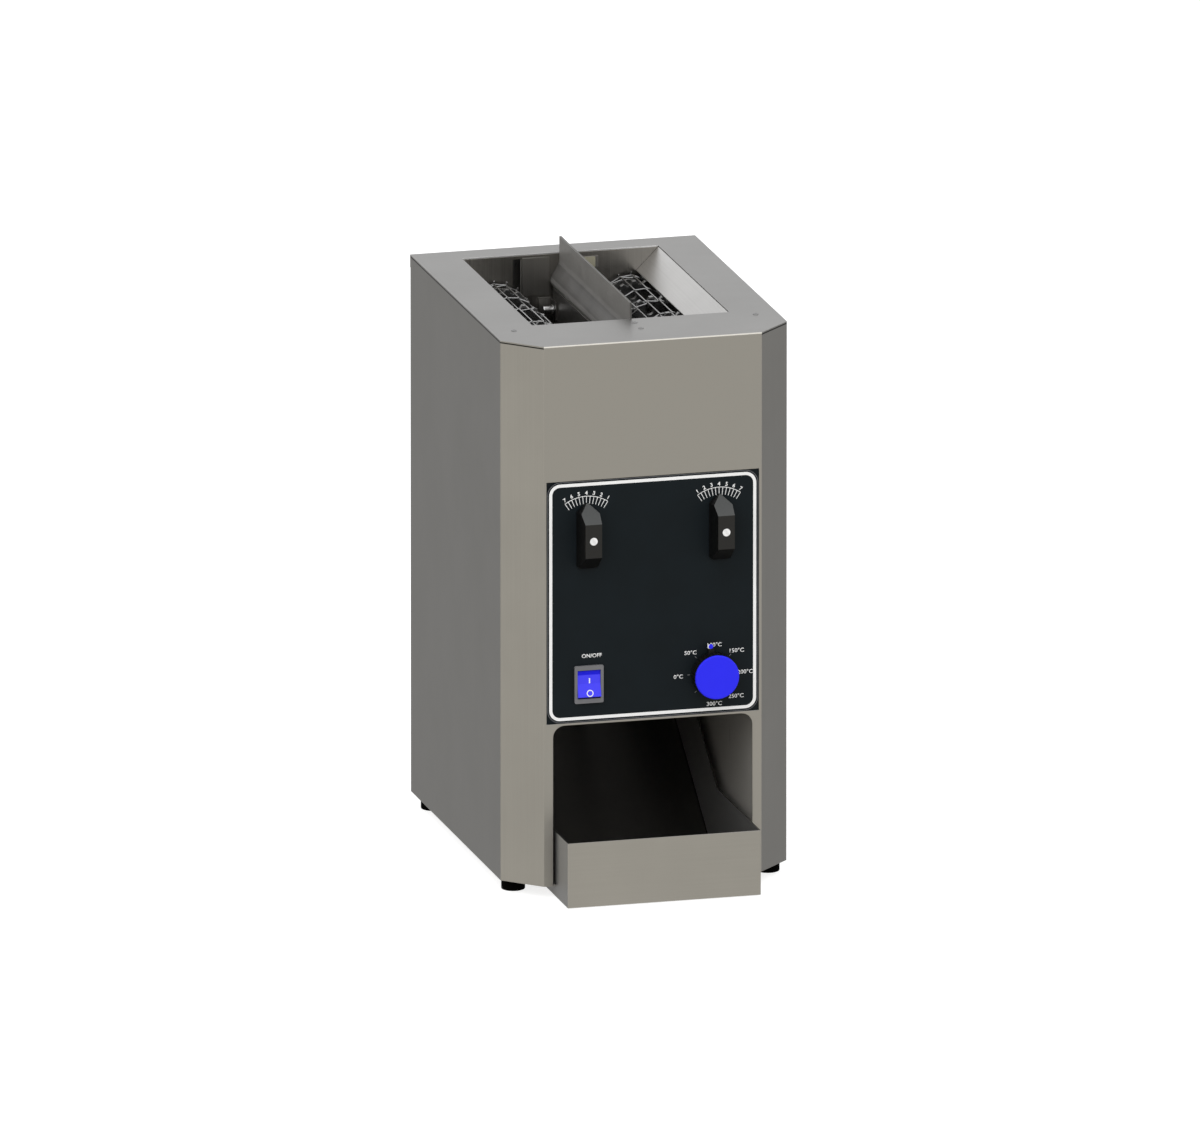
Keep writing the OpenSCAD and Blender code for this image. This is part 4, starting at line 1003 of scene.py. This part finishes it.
# %% Pointer nib
NIB_R = 2.0 * MM
NIB_AT = 25.0 * MM
NIB_EDGE = 0.2 * MM
REST_TURN = math.radians(-7)
nib_y = FRONT_Y - 4.0 * MM
for name, finish, slot, shift, rise in (
        ("pointer_rim", "white", "cap_white", -1.0 * MM, 0.5 * MM),
        ("pointer_nib", "blue", "dial_blue", 0, 1.0 * MM)):
    bm = bmesh.new()
    bmesh.ops.create_cone(bm, cap_ends=True, segments=32, radius1=NIB_R, radius2=NIB_R,
                          depth=rise)
    rotate(bm, bm.verts, math.pi / 2, "X")
    move(bm, shift, -rise / 2, NIB_AT)
    rotate(bm, bm.verts, REST_TURN)
    move(bm, dial.x, nib_y, dial.z)
    soften(bm, [e for e in bm.edges if e.calc_face_angle(0) > 1], NIB_EDGE)
    piece(name, bm, stock[finish], "thermostat_dial")

# %% [markdown]
# ## Knob screws
# Each bar knob is held by a white screw with a slot. The construction model has a plain
# disc. Here a full disc carries two half discs, and the gap between them is the slot. The
# half discs are a little smaller and sink in, so that no edges lie on each other.

# %% Knob screws
SLOT_W = 0.8 * MM
SLOT_DEPTH = 0.45 * MM
SLOT_TURN = math.radians(-35)
SLOT_EDGE = 0.18 * MM
SUNK = 0.1 * MM
for side in ("left", "right"):
    low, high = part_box(f"{side}_knob_cap")
    centre, radius = (low + high) / 2, (high.x - low.x) / 2
    bm = bmesh.new()
    for half in (-1, 0, 1):
        part = bmesh.new()
        depth = high.y - low.y - SLOT_DEPTH if half == 0 else SLOT_DEPTH + SUNK
        r = radius if half == 0 else 0.98 * radius
        bmesh.ops.create_cone(part, cap_ends=True, segments=40, radius1=r, radius2=r, depth=depth)
        rotate(part, part.verts, math.pi / 2, "X")
        y = (low.y + SLOT_DEPTH + high.y) / 2 if half == 0 else low.y + (SLOT_DEPTH + SUNK) / 2
        move(part, 0, y, 0)
        if half:
            cut = bmesh.ops.bisect_plane(
                part, geom=part.verts[:] + part.edges[:] + part.faces[:],
                plane_co=(half * SLOT_W / 2, 0, 0), plane_no=(-half, 0, 0), clear_outer=True)
            rim = [e for e in cut["geom_cut"] if isinstance(e, bmesh.types.BMEdge)]
            bmesh.ops.edgeloop_fill(part, edges=rim)
            top = [e for e in part.edges if all(abs(v.co.y - low.y) < SAME for v in e.verts)]
            soften(part, top, SLOT_EDGE)
        absorb(bm, part)
    rotate(bm, bm.verts, SLOT_TURN)
    move(bm, centre.x, 0, centre.z)
    piece(f"{side}_knob_screw", bm, stock["white"], f"{side}_compression_knob",
          [f"{side}_knob_cap"])

# %% [markdown]
# ## Turned heads
# Lid screws and platen bolts have turned heads. A head is one profile that is spun round
# its axis, which is how a lathe makes it. The construction model keeps all the screws of a
# kind in one mesh, so a second helper finds the box of each.

# %% Turned heads


def turned(bm, profile, at, axis):
    """Spins a profile of (radius, height) points round an axis through a point."""
    part = bmesh.new()
    verts = [part.verts.new((r, 0, h)) for r, h in profile]
    edges = [part.edges.new(pair) for pair in zip(verts, verts[1:])]
    bmesh.ops.spin(part, geom=verts + edges, cent=(0, 0, 0), axis=(0, 0, 1), dvec=(0, 0, 0),
                   angle=2 * math.pi, steps=24, use_merge=True, use_duplicate=False)
    bmesh.ops.remove_doubles(part, verts=part.verts, dist=SAME)
    turn = Vector((0, 0, 1)).rotation_difference(Vector(axis)).to_matrix()
    bmesh.ops.rotate(part, verts=part.verts, cent=(0, 0, 0), matrix=turn)
    move(part, *at)
    absorb(bm, part)


def solids_of(name):
    """Lowest and highest corner of each separate solid in a construction mesh."""
    bm = bmesh.new()
    bm.from_mesh(nodes[name].data)
    bmesh.ops.remove_doubles(bm, verts=bm.verts, dist=TOUCHING)
    left, boxes = set(bm.verts), []
    while left:
        front, found = [left.pop()], []
        while front:
            v = front.pop()
            found.append(v.co.copy())
            for e in v.link_edges:
                other = e.other_vert(v)
                if other in left:
                    left.remove(other)
                    front.append(other)
        boxes.append([Vector([*map(end, zip(*found))]) for end in (min, max)])
    bm.free()
    return sorted(boxes, key=lambda box: tuple(box[0]))

# %% [markdown]
# ## Lid screws
# The lid is held by low round heads with a hollow in the middle for the driver.

# %% Lid screws
HEAD_R = 2.4 * MM
HEAD_H = 0.9 * MM
HEAD_SUNK = 0.2 * MM
HEAD = [(0, 0.35 * HEAD_H), (0.5 * MM, 0.5 * HEAD_H), (0.9 * MM, HEAD_H),
        (0.6 * HEAD_R, 0.95 * HEAD_H), (0.9 * HEAD_R, 0.6 * HEAD_H), (HEAD_R, 0),
        (HEAD_R, -HEAD_SUNK), (0, -HEAD_SUNK)]
lid_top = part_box("top_lid")[1].z
bm = bmesh.new()
for low, high in solids_of("lid_screws"):
    at = Vector(((low.x + high.x) / 2, (low.y + high.y) / 2, lid_top))
    turned(bm, HEAD, at, (0, 0, 1))
piece("lid_screw_heads", bm, stock["fastener"], "casing", ["lid_screws"])

# %% [markdown]
# ## Platen bolts
# Long bright bolts clamp the platen between its brackets. Each has a rounded end, a groove
# and a collar on either side, so half of the profile is given, and the rest mirrors it.

# %% Platen bolts
BOLT_R = 3.3 * MM
BOLT_END = 18.5 * MM
BOLT_FACE = 10.2 * MM
GROOVE_R = BOLT_R - 1.3 * MM
COLLAR_R = BOLT_R + 0.9 * MM
HALF_BOLT = [(0, BOLT_END), (BOLT_R - 0.7 * MM, BOLT_END), (BOLT_R - 0.2 * MM, BOLT_END - 0.2 * MM),
             (BOLT_R, BOLT_END - 0.7 * MM), (BOLT_R, BOLT_FACE + 1.2 * MM),
             (GROOVE_R, BOLT_FACE + MM), (GROOVE_R, BOLT_FACE + 0.4 * MM),
             (COLLAR_R, BOLT_FACE + 0.3 * MM), (COLLAR_R, BOLT_FACE - 0.6 * MM),
             (BOLT_R - 0.4 * MM, BOLT_FACE - 0.7 * MM)]
bm = bmesh.new()
for low, high in solids_of("platen_bolts"):
    at = Vector((0, (low.y + high.y) / 2, (low.z + high.z) / 2))
    turned(bm, HALF_BOLT + [(r, -h) for r, h in reversed(HALF_BOLT)], at, (1, 0, 0))
piece("platen_bolt_heads", bm, stock["bright"], "casing", ["platen_bolts"])

# %% [markdown]
# ## Corner lines of the chute
# The chute is folded from one sheet, and a dark line of crumbs and shade settles where its
# walls meet its floor. On each side two edges along the tray floor and the ramp are
# extruded sideways, and then upwards, to a thin strip.

# %% Corner lines
SHEET = 1.2 * MM
LINE_W = 0.9 * MM
LINE_T = 0.06 * MM
BEND_BACK = 118 * MM
RAMP = math.radians(35)
RAMP_RUN = 178 * MM
low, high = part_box("chute")
bend_y = FRONT_Y + BEND_BACK - SHEET * math.tan(RAMP / 2)
floor_top = low.z + SHEET
run = [(low.y + SHEET, floor_top), (bend_y, floor_top),
       (bend_y + RAMP_RUN, floor_top + RAMP_RUN * math.tan(RAMP))]
bm = bmesh.new()
for left in (-high.x + SHEET, high.x - SHEET - LINE_W):
    points = [bm.verts.new((left, y, z)) for y, z in run]
    edges = [bm.edges.new(pair) for pair in zip(points, points[1:])]
    extruded(bmesh.ops.extrude_edge_only, bm, (LINE_W, 0, 0), edges=edges)
extruded(bmesh.ops.extrude_face_region, bm, (0, 0, LINE_T), geom=bm.faces[:])
# The dark line is partly crumbs and partly painted shade in the corners.
piece("chute_corner_lines", bm, stock["crumbs"], "chute")

# %% [markdown]
# ## Pale patch on the rear wall
# A pale patch lies on the small stiffener plate right of the fin. It is a thin rounded sheet
# on the plate's face.

# %% Pale patch
PAD_X = (11 * MM, 30.5 * MM)
PAD_Z = (466.4 * MM, 475.9 * MM)
PAD_CORNER = 1.2 * MM
pad_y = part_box("platen_brackets")[1].y - SHEET
bm = bmesh.new()
round_corners(bm, add_quad(bm, *PAD_X, *PAD_Z), PAD_CORNER, 4)
printed("pale_patch", bm, (0, pad_y, 0), stock["pad"])

# %% [markdown]
# ## Path of a belt
# A belt runs over the sprockets, down one side, round the lower wheels and up the other.
# Its length is counted in pitches, from one wire to the next: 16 on the two turns and 21 on
# each straight run, 58 in all.

# %% Path of a belt
PITCH = 10.2 * MM
TURN_COUNT = 16
RUN_COUNT = 21
LOOP_COUNT = TURN_COUNT + 2 * RUN_COUNT
BELT_R = PITCH / 2 / math.sin(math.pi / TURN_COUNT)


def belt_point(u, out=0.0):
    """Point of the belt's path, u pitches on from the top turn's outer end, moved out."""
    half, r, v = TURN_COUNT / 2, BELT_R + out, u % LOOP_COUNT
    if v < half:
        a = v * 2 * math.pi / TURN_COUNT
        return -r * math.cos(a), r * math.sin(a)
    if v < half + RUN_COUNT:
        return r, -(v - half) * PITCH
    if v < 2 * half + RUN_COUNT:
        a = (v - half - RUN_COUNT) * 2 * math.pi / TURN_COUNT
        return r * math.cos(a), -RUN_COUNT * PITCH - r * math.sin(a)
    return -r, (v - 2 * half - 2 * RUN_COUNT) * PITCH


print("belt of", LOOP_COUNT, "pitches, turns of radius", round(BELT_R / MM, 2), "mm")

# %% [markdown]
# ## Bent wire
# Every wire is a square wave: it runs along one pitch line, steps to the next at each of
# six columns, and hooks round its neighbour there and at both ends. A point of an end hook
# is given by pitches on, and by millimetres out of the belt and along the wire.

# %% Bent wire
COLUMNS = 6
FIRST_COLUMN = 6 * MM
OVERSHOOT = 1.6 * MM
SAG = 0.55 * MM
FRONT_HOOK = [(1.08, 2.6, 2.2), (1.2, 0.6, 0), (0.95, -0.55, -0.3), (0.1, 0, 0.4)]
REAR_HOOK = [(0, 0, -0.4), (0.9, -0.55, 0.3), (1.2, 0.6, 0), (1.08, 3.0, -1.2)]


def wire_path(u, y0, y1):
    """Points of one wire: (x, y, z) about the drive axis, from the front edge to the rear."""
    step = (y1 - y0 - 2 * FIRST_COLUMN) / (COLUMNS - 1)
    level = 0
    points = [(*belt_point(u + on, out * MM), y0 + along * MM) for on, out, along in FRONT_HOOK]
    for column in range(COLUMNS):
        y = y0 + FIRST_COLUMN + column * step
        low, high = (SAG, -SAG) if level else (-SAG, SAG)
        points.append((*belt_point(u + level, low), y + OVERSHOOT))
        level = 1 - level
        points.append((*belt_point(u + level, high), y - OVERSHOOT))
    ahead = 1 if level == 0 else -1
    points += [(*belt_point(u + level + on * ahead, out * MM), y1 + along * MM)
               for on, out, along in REAR_HOOK]
    return [(x, y, z) for x, z, y in points]


def rounded_path(points, radius):
    """Cuts every corner of a path into three points, so the wire bends instead of kinking."""
    points = [Vector(p) for p in points]
    path = [points[0]]
    for before, at, after in zip(points, points[1:], points[2:]):
        r = min(radius, (before - at).length / 2.2, (after - at).length / 2.2)
        a, b = at + (before - at).normalized() * r, at + (after - at).normalized() * r
        path += [a, (a + b + 2 * at) / 4, b]
    return path + [points[-1]]


# %% [markdown]
# ## Wire belts
# Each conveyor carries a flat belt of these wires. The construction model has straight rods
# and thin bands in their place, so the wires replace it. A curve with a round bevel is the
# short way to give a path its thickness. The right belt mirrors the left one.

# %% Wire belts
WIRE_R = 0.72 * MM
WIRE_BEND = 1.5 * MM
PHASE = 0.76


def wires(paths):
    """A bmesh of round wires along paths, by way of a curve with a round bevel."""
    curve = bpy.data.curves.new("wires", "CURVE")
    curve.dimensions = "3D"
    curve.bevel_depth = WIRE_R
    curve.bevel_resolution = 1
    curve.use_fill_caps = True
    for path in paths:
        line = curve.splines.new("POLY")
        line.points.add(len(path) - 1)
        for point, co in zip(line.points, path):
            point.co = (*co, 1)
    drawn = mesh_of(curve)
    bm = bmesh.new()
    bm.from_mesh(drawn)
    bpy.data.meshes.remove(drawn)
    return bm


for side, sign in (("left", 1), ("right", -1)):
    low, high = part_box(f"{side}_belt")
    axle = axis_of(f"{side}_drive_spin")
    paths = [rounded_path(wire_path(i + PHASE, low.y, high.y), WIRE_BEND)
             for i in range(LOOP_COUNT)]
    bm = wires([[(axle.x + sign * x, y, axle.z + z) for x, y, z in path] for path in paths])
    piece(f"{side}_belt_wires", bm, stock["wire"], f"{side}_conveyor",
          [f"{side}_belt"])

low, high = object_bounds()
